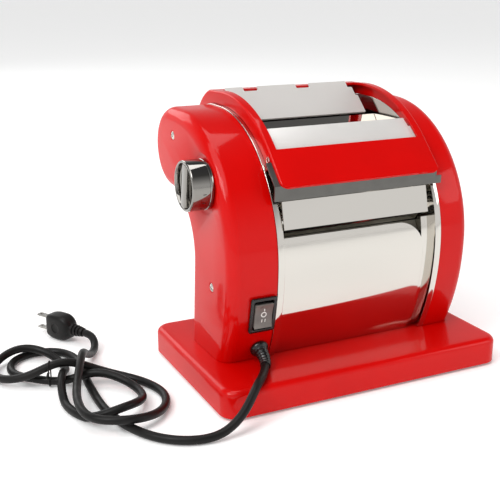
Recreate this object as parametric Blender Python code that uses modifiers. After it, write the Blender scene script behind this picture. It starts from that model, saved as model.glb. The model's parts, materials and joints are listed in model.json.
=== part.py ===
"""Electric pasta roller machine, in metres with +Z up.

Two chromed side plates stand on a moulded base and carry two smooth rollers. A red housing closes each
end: the left one holds the reduction gears, the gap regulator and the switch, the right one the roller
gears. Dough goes down the hopper in the hood, forward between the rollers, and out over the apron.
Lengths run along X. The machine is laid out about the middle of its base, and one empty then shifts it
so that the origin is the middle of its footprint, with the overhanging head counted.
"""

import math

import bmesh
import bpy
import numpy as np
from mathutils import Matrix, Vector

GAP = 0.0003  # clearance kept between pieces that touch

# Base
BASE_W, BASE_D, BASE_TOP = 0.276, 0.169, 0.026
BASE_LIFT = 0.002
BASE_WALL = 0.003
BASE_CORNER = 0.014

# End housings and side plates, along X
LEFT_END, RIGHT_END = -0.118, 0.122
LEFT_PLATE, RIGHT_PLATE = -0.0685, 0.0835  # inner faces
PLATE = 0.0015
RIM = 0.006
RIM_PROUD = 0.0008
HOUSING_WALL = 0.003
HOUSING_ROUND = 0.011
FLOOR_OF_BODY = BASE_TOP + GAP

# Side outline in Y and Z: front arc, head arc and the hollow of the neck
FRONT_Y, FRONT_Z, FRONT_R = 0.068, 0.112, 0.118
SHIN_R = 0.200  # flatter arc below the front's widest place
HEAD_Y, HEAD_Z, HEAD_R = 0.085, 0.193, 0.037
NECK_R = 0.051
NECK_FOOT = 0.006  # how far the back flares out at the base

# Hood
HOOD_Y, HOOD_Z, HOOD_R = 0.069, 0.111, 0.132
HOOD_WALL = 0.0022
HOOD_BEND = 135  # degrees: the arc ends here and the flat front plate starts
HOOD_PLATE = 0.035
HOOD_BACK = 0.193
RAIL_TOP = 0.008  # the rail's upper edge, down the plate from its bend

# Rollers and their gears
ROLLER_R = 0.0175
JOURNAL_R = 0.006
KNOB_Y, KNOB_Z = 0.002, 0.177  # the adjusting roller's axis
LIFT_DIRECTION = Vector((0, 0.010, 0.0344)).normalized()
CENTRES = 0.0358
LIFT = 0.0022
DRIVE_Y = KNOB_Y - CENTRES * LIFT_DIRECTION.y
DRIVE_Z = KNOB_Z - CENTRES * LIFT_DIRECTION.z
ROLLER_TEETH = 16

# Reduction: wheel on the drive roller, compound gear, motor pinion
FINE, COARSE = 0.00125, 0.0015  # gear modules
WHEEL_TEETH, SMALL_TEETH, LARGE_TEETH, PINION_TEETH = 36, 14, 56, 12
MID_DISTANCE = COARSE * (WHEEL_TEETH + SMALL_TEETH) / 2
MOTOR_DISTANCE = FINE * (LARGE_TEETH + PINION_TEETH) / 2
MID_Y, MOTOR_Y = -0.0095, 0.0
MID_Z = DRIVE_Z - math.sqrt(MID_DISTANCE**2 - (MID_Y - DRIVE_Y) ** 2)
MOTOR_Z = MID_Z - math.sqrt(MOTOR_DISTANCE**2 - (MOTOR_Y - MID_Y) ** 2)
SHAFT_R = 0.003
BEARING_DEPTH = 0.0044

# Regulator
KNOB_R, KNOB_FACE, KNOB_BACK = 0.0215, -0.1365, -0.1174
CAM_R, CAM_TURN = 0.0142, math.radians(320)
FOLLOWER_R, FOLLOWER_START = 0.0015, 0.0088

# Switch, on the lower front of the left housing
SWITCH_X, SWITCH_Z = -0.0874, 0.073
SWITCH_W, SWITCH_H = 0.0242, 0.0330

# Lead
CORD_R = 0.0036
CORD_POINTS = 78
GRIP_X, GRIP_Z = -0.0856, 0.0385
GRIP_R = 0.0055

# The lead's route in millimetres: over the base's edge, once round a small double loop, and to the plug
LEAD_ROUTE = (
    (-90, -58, 31), (-98, -70, 30), (-112, -87, 29.6), (-128, -100, 19), (-150, -105, 6),
    (-176, -101, 3.7), (-198, -84, 3.7), (-212, -57, 3.7), (-219, -24, 3.7), (-219, 14, 3.7),
    (-216, 52, 3.7), (-214, 84, 3.7), (-224, 107, 3.7), (-246, 115, 3.7), (-267, 104, 3.7),
    (-273, 80, 4.0), (-259, 55, 5.6), (-236, 40, 6.0), (-213, 29, 12.9), (-188, 7, 7.5),
    (-186, -21, 7), (-210, -43, 12.2), (-234, -34, 5), (-246, 0, 3.7), (-239, 36, 13.8),
    (-229, 68, 5), (-236, 97, 8), (-259, 112, 11.8), (-283, 101, 7), (-288, 73, 5.5),
    (-266, 50, 12), (-237, 46, 20.4), (-205, 38, 10.5), (-178, 17, 4.6), (-166, -16, 3.7),
    (-180, -49, 6), (-210, -64, 11.6), (-237, -47, 11.5), (-240, -18, 13), (-230, 18, 16.5),
    (-218, 47, 24), (-205, 77, 10), (-196, 92, 5), (-191, 103, 7.5), (-191.4, 114, 11.8),
    (-195.4, 121.4, 12.9),
)
TIE_PLACE = (-0.2475, 0.0466, 0.0119)  # where one tie holds two runs of the lead, one above the other
PLUG_PLACE, PLUG_TURN = (-0.1960, 0.1223, 0.0130), math.radians(120)
BLADE_SPACING = 0.0127

# The hood follows the head at the same distance; the overhang decides where the footprint's middle is
HOOD_REAR = HEAD_Y + HEAD_R + HOOD_R - FRONT_R
BASE_SHIFT = -(HOOD_REAR - BASE_D / 2) / 2


def clear_scene():
    for item in list(bpy.data.objects):
        bpy.data.objects.remove(item, do_unlink=True)


clear_scene()
PARTS = bpy.data.collections.new("pasta_roller_machine")
CUTTERS = bpy.data.collections.new("cutters")
for group in (PARTS, CUTTERS):
    bpy.context.scene.collection.children.link(group)


# ---------------------------------------------------------------- outlines


def arc(centre, radius, start, end, steps):
    """Points on an arc in (Y, Z); the angles are in degrees, from +Y towards +Z."""
    turns = [math.radians(start + (end - start) * i / steps) for i in range(steps + 1)]
    return [(centre[0] + radius * math.cos(t), centre[1] + radius * math.sin(t)) for t in turns]


def circle(centre, radius, steps=24):
    return arc(centre, radius, 0, 360 - 360 / steps, steps - 1)


def shin_y(z, out=0.0):
    """Where the front's lower arc stands at height z."""
    reach = SHIN_R + out
    return FRONT_Y - FRONT_R + SHIN_R - math.sqrt(reach**2 - (FRONT_Z - z) ** 2)


def side_outline(out=0.0, bottom=FLOOR_OF_BODY):
    """The outline that housings, plates and sheets share, moved out by a distance."""
    front = (FRONT_Y, FRONT_Z)
    shin_centre = (FRONT_Y - FRONT_R + SHIN_R, FRONT_Z)
    low = 180 + math.degrees(math.asin((FRONT_Z - bottom) / (SHIN_R + out)))
    neck_centre = (HEAD_Y, HEAD_Z - HEAD_R - NECK_R)
    points = arc(shin_centre, SHIN_R + out, low, 180, 4)
    points += arc(front, FRONT_R + out, 180, 90, 12)[1:]
    points += arc((HEAD_Y, HEAD_Z), HEAD_R + out, 90, -90, 10)
    points += arc(neck_centre, NECK_R - out, 90, 180, 6)[1:]
    points.append((neck_centre[0] - NECK_R + out + NECK_FOOT, bottom))
    return points


def band(path, thickness):
    """A closed outline that follows an open path, thickness to its left."""
    inner = []
    for i, point in enumerate(path):
        before = Vector(path[max(i - 1, 0)])
        after = Vector(path[min(i + 1, len(path) - 1)])
        along = (after - before).normalized()
        inner.append((point[0] - along.y * thickness, point[1] + along.x * thickness))
    return list(path) + inner[::-1]


def gear_outline(module, teeth, centre, phase):
    """Straight-sided teeth; phase is in tooth pitches."""
    pitch = module * teeth / 2
    shape = ((-1.10, 0.315), (0.85, 0.135))  # height in modules, half width in pitches
    points = []
    for tooth in range(teeth):
        flank = [(tooth + phase - half, height) for height, half in shape]
        flank += [(tooth + phase + half, height) for height, half in reversed(shape)]
        for place, height in flank:
            turn = 2 * math.pi * place / teeth
            radius = pitch + height * module
            points.append((centre[0] + radius * math.cos(turn), centre[1] + radius * math.sin(turn)))
    return points


# ---------------------------------------------------------------- makers


def material(name, colour, roughness, metallic=0.0):
    made = bpy.data.materials.get(name) or bpy.data.materials.new(name)
    made.use_nodes = True
    shader = made.node_tree.nodes["Principled BSDF"]
    shader.inputs["Base Color"].default_value = (*colour, 1)
    shader.inputs["Roughness"].default_value = roughness
    shader.inputs["Metallic"].default_value = metallic
    return made


RED = ("red_enamel", (0.62, 0.01, 0.005), 0.18)
CHROME = ("chrome", (0.80, 0.80, 0.80), 0.06, 1.0)
STEEL = ("steel", (0.55, 0.54, 0.52), 0.30, 1.0)
FROSTED = ("frosted_plastic", (0.80, 0.79, 0.76), 0.35)
BLACK = ("black_plastic", (0.02, 0.02, 0.02), 0.40)
RUBBER = ("black_rubber", (0.02, 0.02, 0.02), 0.70)
NYLON = ("nylon", (0.75, 0.73, 0.66), 0.45)
BRONZE = ("bronze", (0.50, 0.33, 0.14), 0.35, 1.0)
GREY = ("grey_plastic", (0.12, 0.12, 0.12), 0.35)


def keep(item, finish):
    """Puts a finished piece in the model, under the machine's empty."""
    PARTS.objects.link(item)
    item.data.materials.clear()
    item.data.materials.append(material(*finish))
    item.parent = MACHINE
    return item


def as_cutter(item):
    CUTTERS.objects.link(item)
    item.hide_render = True
    item.display_type = "WIRE"
    item.parent = MACHINE
    return item


def cut(item, *cutters):
    for cutter in cutters:
        step = item.modifiers.new("cut", "BOOLEAN")
        step.operation, step.solver, step.object = "DIFFERENCE", "EXACT", cutter
    return item


def join(item, *others):
    for other in others:
        step = item.modifiers.new("join", "BOOLEAN")
        step.operation, step.solver, step.object = "UNION", "EXACT", other
    return item


def flat_curve(name, outlines, thickness):
    curve = bpy.data.curves.new(name, "CURVE")
    curve.dimensions, curve.fill_mode, curve.extrude = "2D", "BOTH", thickness / 2
    for outline in outlines:
        spline = curve.splines.new("POLY")
        spline.points.add(len(outline) - 1)
        for point, place in zip(spline.points, outline):
            point.co = (*place, 0, 1)
        spline.use_cyclic_u = True
    return bpy.data.objects.new(name, curve)


def to_mesh(item):
    """The curve's mesh with its caps welded, so that it can be cut; the curve is removed."""
    bpy.context.scene.collection.objects.link(item)
    evaluated = item.evaluated_get(bpy.context.evaluated_depsgraph_get())
    mesh = bpy.data.meshes.new_from_object(evaluated)
    made = bpy.data.objects.new(item.name, mesh)
    made.matrix_world = item.matrix_world
    form = bmesh.new()
    form.from_mesh(mesh)
    bmesh.ops.remove_doubles(form, verts=form.verts, dist=1e-6)
    bmesh.ops.dissolve_limit(form, angle_limit=1e-4, verts=form.verts, edges=form.edges)
    bmesh.ops.recalc_face_normals(form, faces=form.faces)
    form.to_mesh(mesh)
    form.free()
    name = item.name
    bpy.data.objects.remove(item)
    made.name = name
    return made


ACROSS = Matrix(((0, 0, 1, 0), (1, 0, 0, 0), (0, 1, 0, 0), (0, 0, 0, 1)))  # outline in Y and Z, thick along X


def slab(name, outlines, x0, x1):
    """A flat outline in Y and Z, with holes, from x0 to x1."""
    item = flat_curve(name, outlines, abs(x1 - x0))
    item.matrix_world = Matrix.Translation(((x0 + x1) / 2, 0, 0)) @ ACROSS
    return to_mesh(item)


def loft(name, sections):
    """A solid through sections with the same number of points, capped at both ends."""
    form = bmesh.new()
    rings = [[form.verts.new(point) for point in section] for section in sections]
    form.faces.new(rings[0][::-1])
    form.faces.new(rings[-1])
    for ring, after in zip(rings, rings[1:]):
        for i in range(len(ring)):
            j = (i + 1) % len(ring)
            form.faces.new((ring[i], ring[j], after[j], after[i]))
    bmesh.ops.recalc_face_normals(form, faces=form.faces)
    mesh = bpy.data.meshes.new(name)
    form.to_mesh(mesh)
    form.free()
    return bpy.data.objects.new(name, mesh)


def rounding(radius, steps=4):
    """(depth below the face, inset from the side) pairs down a quarter-round edge, face first."""
    turns = [math.pi / 2 * i / steps for i in range(steps + 1)]
    return [(radius * (1 - math.cos(t)), radius * (1 - math.sin(t))) for t in turns]


def rounded_slab(name, outline_at, face, far, radius, steps=4):
    """Between x=face, whose edge is rounded, and x=far; outline_at(out) gives the outline in Y and Z."""
    side = 1 if face > far else -1
    sections = []
    for depth, inset in rounding(radius, steps):
        sections.append([(face - side * depth, *point) for point in outline_at(-inset)])
    sections.append([(far, *point) for point in outline_at(0)])
    return loft(name, sections)


def box(name, low, high, roundness=0.0):
    """A block between two corners, its edges beveled when a roundness is given."""
    form = bmesh.new()
    bmesh.ops.create_cube(form, size=1)
    size = [b - a for a, b in zip(low, high)]
    bmesh.ops.scale(form, vec=size, verts=form.verts)
    if roundness:
        bmesh.ops.bevel(form, geom=form.edges[:], offset=roundness, segments=2, profile=0.5, affect="EDGES")
    mesh = bpy.data.meshes.new(name)
    form.to_mesh(mesh)
    form.free()
    made = bpy.data.objects.new(name, mesh)
    made.location = [(a + b) / 2 for a, b in zip(low, high)]
    return made


def turned(name, profile, centre, steps=32):
    """A turned piece on an axis along X. The profile's points are (x, radius), outer side first and
    from low x to high x; one that starts and ends off the axis leaves a bore."""
    mesh = bpy.data.meshes.new(name)
    hollow = profile[0][1] > 0
    count = len(profile)
    edges = [(i, i + 1) for i in range(count - 1)]
    if hollow:
        edges.append((count - 1, 0))
    mesh.from_pydata([(radius, 0, -x) for x, radius in profile], edges, [])
    made = bpy.data.objects.new(name, mesh)
    made.matrix_world = Matrix.Translation((0, *centre)) @ Matrix.Rotation(math.radians(-90), 4, "Y")
    spin = made.modifiers.new("turn", "SCREW")
    spin.axis, spin.angle = "Z", math.radians(360)
    spin.steps = spin.render_steps = steps
    spin.use_merge_vertices, spin.merge_threshold = True, 1e-5
    return made


def rod(name, x0, x1, radius, centre, bore=0.0, steps=20, chamfer=0.0):
    """A round bar or tube along X."""
    ends = [(x0, radius - chamfer), (x0 + chamfer, radius), (x1 - chamfer, radius), (x1, radius - chamfer)]
    if not chamfer:
        ends = [(x0, radius), (x1, radius)]
    if bore:
        return turned(name, ends + [(x1, bore), (x0, bore)], centre, steps)
    return turned(name, [(x0, 0)] + ends + [(x1, 0)], centre, steps)


def gear(name, module, teeth, x0, x1, centre, bore, phase=0.0):
    return slab(name, [gear_outline(module, teeth, centre, phase), circle(centre, bore, 16)], x0, x1)


# ---------------------------------------------------------------- placing

MACHINE = bpy.data.objects.new("machine", None)
MACHINE.location = (0, BASE_SHIFT, 0)
PARTS.objects.link(MACHINE)


# ---------------------------------------------------------------- base


def base():
    half_w, half_d = BASE_W / 2, BASE_D / 2

    def rounded(inset, radius):
        w, d = half_w - inset - radius, half_d - inset - radius
        points = []
        for sx, sy, start in ((1, 1, 0), (-1, 1, 90), (-1, -1, 180), (1, -1, 270)):
            points += arc((sx * w, sy * d), radius, start, start + 90, 5)
        return points

    def tray(name, inset, radius, z0, z1, edge=0.0):
        sections = [[(x, y, z0) for x, y in rounded(inset, radius)]]
        for depth, more in (rounding(edge, 3)[::-1] if edge else [(0, 0)]):
            sections.append([(x, y, z1 - depth) for x, y in rounded(inset + more, radius - more)])
        return loft(name, sections)

    shell = tray("base_shell", 0, BASE_CORNER, BASE_LIFT, BASE_TOP, 0.005)
    inner = tray("base_hollow", BASE_WALL, BASE_CORNER - BASE_WALL, BASE_LIFT - 0.01, BASE_TOP - BASE_WALL)
    cut(keep(shell, RED), as_cutter(inner))
    plate_z = 0.005
    keep(tray("base_bottom_plate", BASE_WALL + GAP, BASE_CORNER - BASE_WALL - GAP, plate_z, plate_z + 0.002), GREY)
    for name, sx, sy in (("left_front", -1, -1), ("right_front", 1, -1), ("left_rear", -1, 1), ("right_rear", 1, 1)):
        foot = flat_curve("foot_" + name, [circle((0, 0), 0.009, 20)], plate_z - GAP)
        foot.matrix_world = Matrix.Translation((sx * (half_w - 0.022), sy * (half_d - 0.022), (plate_z - GAP) / 2))
        keep(to_mesh(foot), RUBBER)


# ---------------------------------------------------------------- housings and plates


def housing(name, end, plate_face):
    """A shell that is open towards its side plate; end is its outer face."""
    side = 1 if end > 0 else -1
    rim_edge = plate_face + side * (RIM + GAP)
    shell = rounded_slab(name, side_outline, end, rim_edge, HOUSING_ROUND)

    def inner_outline(out):
        return side_outline(out - HOUSING_WALL, FLOOR_OF_BODY + HOUSING_WALL)

    inner_round = HOUSING_ROUND - HOUSING_WALL
    inner_end = end - side * HOUSING_WALL
    inside = rounded_slab(name + "_inside", inner_outline, inner_end, rim_edge - side * 0.002, inner_round)
    return cut(keep(shell, RED), as_cutter(inside))


SCREW_PLACES = ((0.0735, 0.2065), (-0.0105, 0.0895))


def stepped_cut(name, end, centre, head_r, head_depth, shank_r, shank_depth, steps):
    """A counterbored hole into an end face: the head's seat and the narrower hole behind it."""
    side = 1 if end > 0 else -1
    stages = [(0.002, 0), (0.002, head_r), (-head_depth, head_r)]
    stages += [(-head_depth, shank_r), (-shank_depth, shank_r), (-shank_depth, 0)]
    points = [(end + side * x, radius) for x, radius in stages]
    if side > 0:
        points.reverse()
    return as_cutter(turned(name, points, centre, steps))


def screw(name, end, centre, length=0.0075):
    side = 1 if end > 0 else -1
    seat = end - side * (0.0015 - GAP)
    profile = [(0, 0), (0, 0.0015), (length, 0.0015), (length, 0.0038), (length + 0.0010, 0.0038)]
    profile += [(length + 0.0016, 0.0026), (length + 0.0016, 0)]
    points = [(seat + side * (x - length), radius) for x, radius in profile]
    if side < 0:
        points.reverse()
    keep(turned(name, points, centre, 16), STEEL)


def housings():
    left = housing("left_housing", LEFT_END, LEFT_PLATE)
    right = housing("right_housing", RIGHT_END, RIGHT_PLATE)
    for level, centre in zip(("upper", "lower"), SCREW_PLACES):
        cut(left, stepped_cut("left_cut_" + level, LEFT_END, centre, 0.0042, 0.0015, 0.0019, 0.006, 16))
        cut(right, stepped_cut("right_cut_" + level, RIGHT_END, centre, 0.0042, 0.0015, 0.0019, 0.006, 16))
        screw("left_housing_screw_" + level, LEFT_END, centre)
        screw("right_housing_screw_" + level, RIGHT_END, centre)
    knob_axis = (KNOB_Y, KNOB_Z)
    cut(left, stepped_cut("knob_cut", LEFT_END, knob_axis, KNOB_R + 0.0022, 0.0013, 0.0042, 0.006, 32))
    corner = Vector((SWITCH_W / 2 - 0.0016, 0.020, SWITCH_H / 2 - 0.0012))
    switch_cut = box("switch_cut", -corner, corner)
    switch_cut.matrix_world = switch_place() @ switch_cut.matrix_basis
    grip_cut = loft("grip_cut", [ring(grip_point(depth), grip_out(), GRIP_R + GAP) for depth in (-0.012, 0.014)])
    cut(left, as_cutter(switch_cut), as_cutter(grip_cut))


def side_plates():
    knob_axis, drive_axis = Vector((KNOB_Y, KNOB_Z)), (DRIVE_Y, DRIVE_Z)
    up = LIFT_DIRECTION.yz
    tilt = math.degrees(math.atan2(up.y, up.x))
    slot = arc(knob_axis + up * (LIFT + GAP), 0.0096, tilt - 90, tilt + 90, 10)
    slot += arc(knob_axis - up * GAP, 0.0096, tilt + 90, tilt + 270, 10)
    for name, face, side in (("left_side_plate", LEFT_PLATE, -1), ("right_side_plate", RIGHT_PLATE, 1)):
        holes = [circle(drive_axis, 0.0093), slot]
        if side < 0:
            holes += [circle((MID_Y, MID_Z), SHAFT_R + 0.0006, 16), circle((MOTOR_Y, MOTOR_Z), 0.0095)]
        plate = slab(name, [side_outline(RIM_PROUD)] + holes, *sorted((face, face + side * RIM)))
        hollow = side_outline(RIM_PROUD - 0.002, FLOOR_OF_BODY + 0.0012)
        pocket = slab(name + "_pocket", [hollow], *sorted((face + side * PLATE, face + side * (RIM + 0.002))))
        cut(keep(plate, CHROME), as_cutter(pocket))


# ---------------------------------------------------------------- sheets of the bay

BAY = (LEFT_PLATE + GAP, RIGHT_PLATE - GAP)


def sheets():
    skin = 0.0012
    apron_top = 0.1356
    back = 0.0025  # the apron stands this far behind the rims
    low = 180 + math.degrees(math.asin((FRONT_Z - FLOOR_OF_BODY) / (SHIN_R - back)))
    top = 180 - math.degrees(math.asin((apron_top - FRONT_Z) / (FRONT_R - back)))
    path = arc((FRONT_Y, FRONT_Z), FRONT_R - back, top, 180, 6)
    path += arc((FRONT_Y - FRONT_R + SHIN_R, FRONT_Z), SHIN_R - back, 180, low, 8)[1:]
    apron_right = RIGHT_PLATE - 0.011
    apron = slab("front_apron", [band(path, skin)], BAY[0], apron_right)
    corner = 0.026  # the apron's top right corner is cut on a curve this deep
    curve = [(apron_right + 0.002, apron_top + 0.004), (apron_right - corner - 0.006, apron_top + 0.004)]
    curve += arc((apron_right - corner, apron_top - corner), corner, 90, 0, 8)
    curve.append((apron_right + 0.002, apron_top - corner))
    corner_cut = flat_curve("apron_corner", [curve], 0.03)
    corner_cut.matrix_world = Matrix.Translation((0, -0.048, 0)) @ Matrix.Rotation(math.radians(90), 4, "X")
    cut(keep(apron, CHROME), as_cutter(to_mesh(corner_cut)))

    panel = [(-0.0429, 0.1664), (-0.0485, 0.1436)]
    keep(slab("front_panel", [band(panel, skin)], BAY[0], RIGHT_PLATE - 0.0085), CHROME)

    rail = [plate_point(RAIL_TOP, 0.0030), plate_point(0.0315, 0.0030), (-0.0440, 0.1672)]
    item = slab("front_rail", [band(rail, 0.0015)], LEFT_PLATE - RIM - 0.001, RIGHT_PLATE + RIM + 0.001)
    keep(item, CHROME)

    rear = side_outline(-0.002)[20:]  # from inside the hood, round the head and down the neck
    keep(slab("rear_panel", [band(rear[::-1], -skin)], *BAY), STEEL)

    chute = [(0.0575, 0.2145), (0.0300, 0.1800), (0.0150, 0.1610)]
    keep(slab("dough_chute", [band(chute, -skin)], *BAY), STEEL)


def scrapers():
    for name, centre, start, angle in (
        ("drive_scraper", (DRIVE_Y, DRIVE_Z), 0.0180, 235),
        ("adjusting_scraper", (KNOB_Y, KNOB_Z), 0.0190, 196),
    ):
        out = Vector((math.cos(math.radians(angle)), math.sin(math.radians(angle))))
        path = [Vector(centre) + out * reach for reach in (start, start + 0.011)]
        keep(slab(name, [band([tuple(p) for p in path], 0.0010)], *BAY), NYLON)


def tie_rods():
    places = {"front": (-0.0375, 0.1140), "rear": (0.0700, 0.1900), "low": (0.0180, 0.0345)}
    for name, centre in places.items():
        keep(rod("tie_rod_" + name, *BAY, 0.004, centre, steps=16), CHROME)


# ---------------------------------------------------------------- hood and feed guides


def hood_path(out=0.0):
    """The hood's outer line in Y and Z, from the back's lower edge over the top to the front edge."""
    path = [(HOOD_REAR + out, HOOD_BACK)]
    path += arc((HEAD_Y, HEAD_Z), HEAD_R + HOOD_R - FRONT_R + out, 0, 72, 9)[1:]
    path += arc((HOOD_Y, HOOD_Z), HOOD_R + out, 84, HOOD_BEND, 12)
    bend = math.radians(HOOD_BEND)
    end = path[-1]
    path.append((end[0] - math.sin(bend) * HOOD_PLATE, end[1] + math.cos(bend) * HOOD_PLATE))
    return path


def plate_point(down, depth):
    """A point on the hood's flat front plate: so far down from its bend, and so deep behind its face."""
    bend = math.radians(HOOD_BEND)
    top = (HOOD_Y + HOOD_R * math.cos(bend), HOOD_Z + HOOD_R * math.sin(bend))
    out, along = Vector((math.cos(bend), math.sin(bend))), Vector((-math.sin(bend), math.cos(bend)))
    return tuple(Vector(top) + along * down - out * depth)


def hood():
    x0, x1 = LEFT_PLATE - 0.0022, RIGHT_PLATE + 0.0022
    lower = [plate_point(HOOD_PLATE, 0.0026), plate_point(RAIL_TOP - 0.0007, 0.0026)]
    lower += arc((FRONT_Y, FRONT_Z), FRONT_R + RIM_PROUD + GAP, 138.8, 90, 12)
    lower += arc((HEAD_Y, HEAD_Z), HEAD_R + RIM_PROUD + GAP, 90, 0, 9)
    edge = rounding(0.0018, 2)
    sections = [[(x0 + depth, *point) for point in hood_path(-inset) + lower] for depth, inset in edge]
    sections += [[(x1 - depth, *point) for point in hood_path(-inset) + lower] for depth, inset in edge[::-1]]
    block = loft("hood", sections)
    inner = hood_path(-HOOD_WALL)
    inner[0] = (inner[0][0], HOOD_BACK - 0.004)
    bend = math.radians(HOOD_BEND)
    inner[-1] = (inner[-1][0] + math.sin(bend) * HOOD_WALL, inner[-1][1] - math.cos(bend) * HOOD_WALL)
    hollow = slab("hood_hollow", [inner + [(0.02, 0.15), (0.09, 0.15)]], x0 + HOOD_WALL, x1 - HOOD_WALL)
    cut(keep(block, RED), as_cutter(hollow))
    sill = 0.0075
    inner_line = arc((HOOD_Y, HOOD_Z), HOOD_R - 0.017, HOOD_BEND - 1, 82, 3)
    outer_line = arc((HOOD_Y, HOOD_Z), HOOD_R + 0.018, 82, HOOD_BEND - 1, 3)
    cutter = slab("hood_window", [inner_line + outer_line], x0 + sill, x1 - sill)
    cut(block, as_cutter(cutter))
    for name, face, side in (("left", x0, -1), ("right", x1, 1)):
        centre = plate_point(0.0040, 0.0055)
        hole = rod(name + "_hood_cut", *sorted((face + side * 0.002, face - side * 0.005)), 0.0016, centre, steps=12)
        cut(block, as_cutter(hole))
        points = [(0, 0), (0, 0.0012), (0.0046, 0.0012), (0.0046, 0.0028), (0.0056, 0.0024), (0.0056, 0)]
        points = [(face + side * (x - 0.0046 + GAP), radius) for x, radius in points]
        if side < 0:
            points.reverse()
        keep(turned("hood_screw_" + name, points, centre, 12), STEEL)


def feed_guides():
    x0, x1 = LEFT_PLATE + 0.0036, RIGHT_PLATE - 0.0036
    rear = [(0.0868, 0.2440), (0.0585, 0.2176)]
    guide = slab("rear_feed_guide", [band(rear, 0.0018)], x0 + 0.0045, x1 - 0.0045)
    keep(guide, FROSTED)
    for x in (-0.035, 0.020):
        notch = box("guide_notch", (x - 0.008, 0.07, 0.2415), (x + 0.008, 0.10, 0.26))
        cut(guide, as_cutter(notch))
    strip = arc((HOOD_Y, HOOD_Z), HOOD_R - HOOD_WALL - 0.0006, 137, 122.8, 4)
    front = strip + [(0.0135, 0.1965)]
    keep(slab("front_feed_guide", [band(front, -0.0016)], x0, x1), FROSTED)


# ---------------------------------------------------------------- rollers and gears


def rollers():
    drive, knob = (DRIVE_Y, DRIVE_Z), (KNOB_Y, KNOB_Z)
    barrel = (LEFT_PLATE + 0.001, RIGHT_PLATE - 0.001)
    gears = (RIGHT_PLATE + 0.006, RIGHT_PLATE + 0.0145)
    chamfer = 0.0008
    right_end = gears[1] + 0.001
    for name, centre, left_end in (("drive_roller", drive, -0.0925), ("adjusting_roller", knob, LEFT_PLATE - 0.0048)):
        profile = [(left_end, 0), (left_end, JOURNAL_R), (barrel[0], JOURNAL_R)]
        profile += [(barrel[0], ROLLER_R - chamfer), (barrel[0] + chamfer, ROLLER_R)]
        profile += [(barrel[1] - chamfer, ROLLER_R), (barrel[1], ROLLER_R - chamfer)]
        profile += [(barrel[1], JOURNAL_R), (right_end, JOURNAL_R), (right_end, 0)]
        keep(turned(name, profile, centre, 28), CHROME)
    module = CENTRES / ROLLER_TEETH
    line = math.degrees(math.atan2(LIFT_DIRECTION.z, LIFT_DIRECTION.y)) / 360 * ROLLER_TEETH
    bore = JOURNAL_R + GAP
    keep(gear("drive_roller_gear", module, ROLLER_TEETH, *gears, drive, bore, line), STEEL)
    half_turn = ROLLER_TEETH / 2 + 0.5
    keep(gear("adjusting_roller_gear", module, ROLLER_TEETH, *gears, knob, bore, line + half_turn), STEEL)
    for where, side, face in (("left", -1, LEFT_PLATE), ("right", 1, RIGHT_PLATE)):
        keep(bearing("drive_bush_" + where, face, side, drive, 0.0089, 0.0110), BRONZE)
        block = keep(bearing("roller_block_" + where, face, side, knob, 0.0090, 0.0128), BRONZE)
        if side < 0:
            up = LIFT_DIRECTION.yz * FOLLOWER_START
            outer = face + side * BEARING_DEPTH
            pin = rod("follower_pin", outer - 0.0042, outer + 0.0020, FOLLOWER_R, (KNOB_Y + up.x, KNOB_Z + up.y), steps=12)
            join(block, as_cutter(pin))


def bearing(name, face, side, centre, neck_r, flange_r):
    """A flanged bush, its neck in a side plate's hole and its flange against the plate's outer face."""
    inner, flange, outer = (face + side * depth for depth in (GAP, PLATE + GAP, BEARING_DEPTH))
    bore = JOURNAL_R + GAP
    points = [(inner, neck_r), (flange, neck_r), (flange, flange_r), (outer, flange_r)]
    if side < 0:
        points.reverse()
    ends = (points[-1][0], points[0][0])
    return turned(name, points + [(x, bore) for x in ends], centre, 24)


def reduction():
    drive, mid, motor = (DRIVE_Y, DRIVE_Z), (MID_Y, MID_Z), (MOTOR_Y, MOTOR_Z)

    def direction(a, b):
        return math.atan2(b[1] - a[1], b[0] - a[0]) / (2 * math.pi)

    wheel_phase = direction(drive, mid) * WHEEL_TEETH
    small_phase = direction(mid, drive) * SMALL_TEETH + 0.5
    large_phase = direction(mid, motor) * LARGE_TEETH
    pinion_phase = direction(motor, mid) * PINION_TEETH + 0.5
    bore = SHAFT_R + GAP
    keep(gear("drive_wheel", COARSE, WHEEL_TEETH, -0.0900, -0.0840, drive, JOURNAL_R + GAP, wheel_phase), STEEL)
    keep(gear("reduction_pinion", COARSE, SMALL_TEETH, -0.0905, -0.0835, mid, bore, small_phase), STEEL)
    keep(gear("reduction_wheel", FINE, LARGE_TEETH, -0.1040, -0.0995, mid, bore, large_phase), NYLON)
    keep(gear("motor_pinion", FINE, PINION_TEETH, -0.1045, -0.0990, motor, bore, pinion_phase), STEEL)
    keep(rod("reduction_shaft", -0.1100, -0.0690, SHAFT_R, mid, steps=16), STEEL)
    keep(rod("motor_shaft", -0.1060, -0.0360, SHAFT_R, motor, steps=16), STEEL)
    can = [(-0.0350, 0), (-0.0350, SHAFT_R + 0.0004), (-0.0682, SHAFT_R + 0.0004), (-0.0682, 0.0290)]
    can += [(-0.0652, 0.0290), (-0.0652, 0.0240), (0.0220, 0.0240), (0.0240, 0.0220), (0.0240, 0)]
    keep(turned("motor_body", can, motor, 28), STEEL)
    cap = [(0.0243, 0), (0.0243, 0.0215), (0.0310, 0.0215), (0.0340, 0.0185), (0.0340, 0)]
    keep(turned("motor_cap", cap, motor, 24), BLACK)
    plate = [(-0.030, 0.056), (0.018, 0.056), (0.018, 0.122), (-0.030, 0.122)]
    holes = [circle(mid, SHAFT_R + 0.0005, 16), circle(motor, SHAFT_R + 0.0005, 16)]
    keep(slab("gear_plate", [plate] + holes, -0.1085, -0.1065), STEEL)


# ---------------------------------------------------------------- gap regulator


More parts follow.
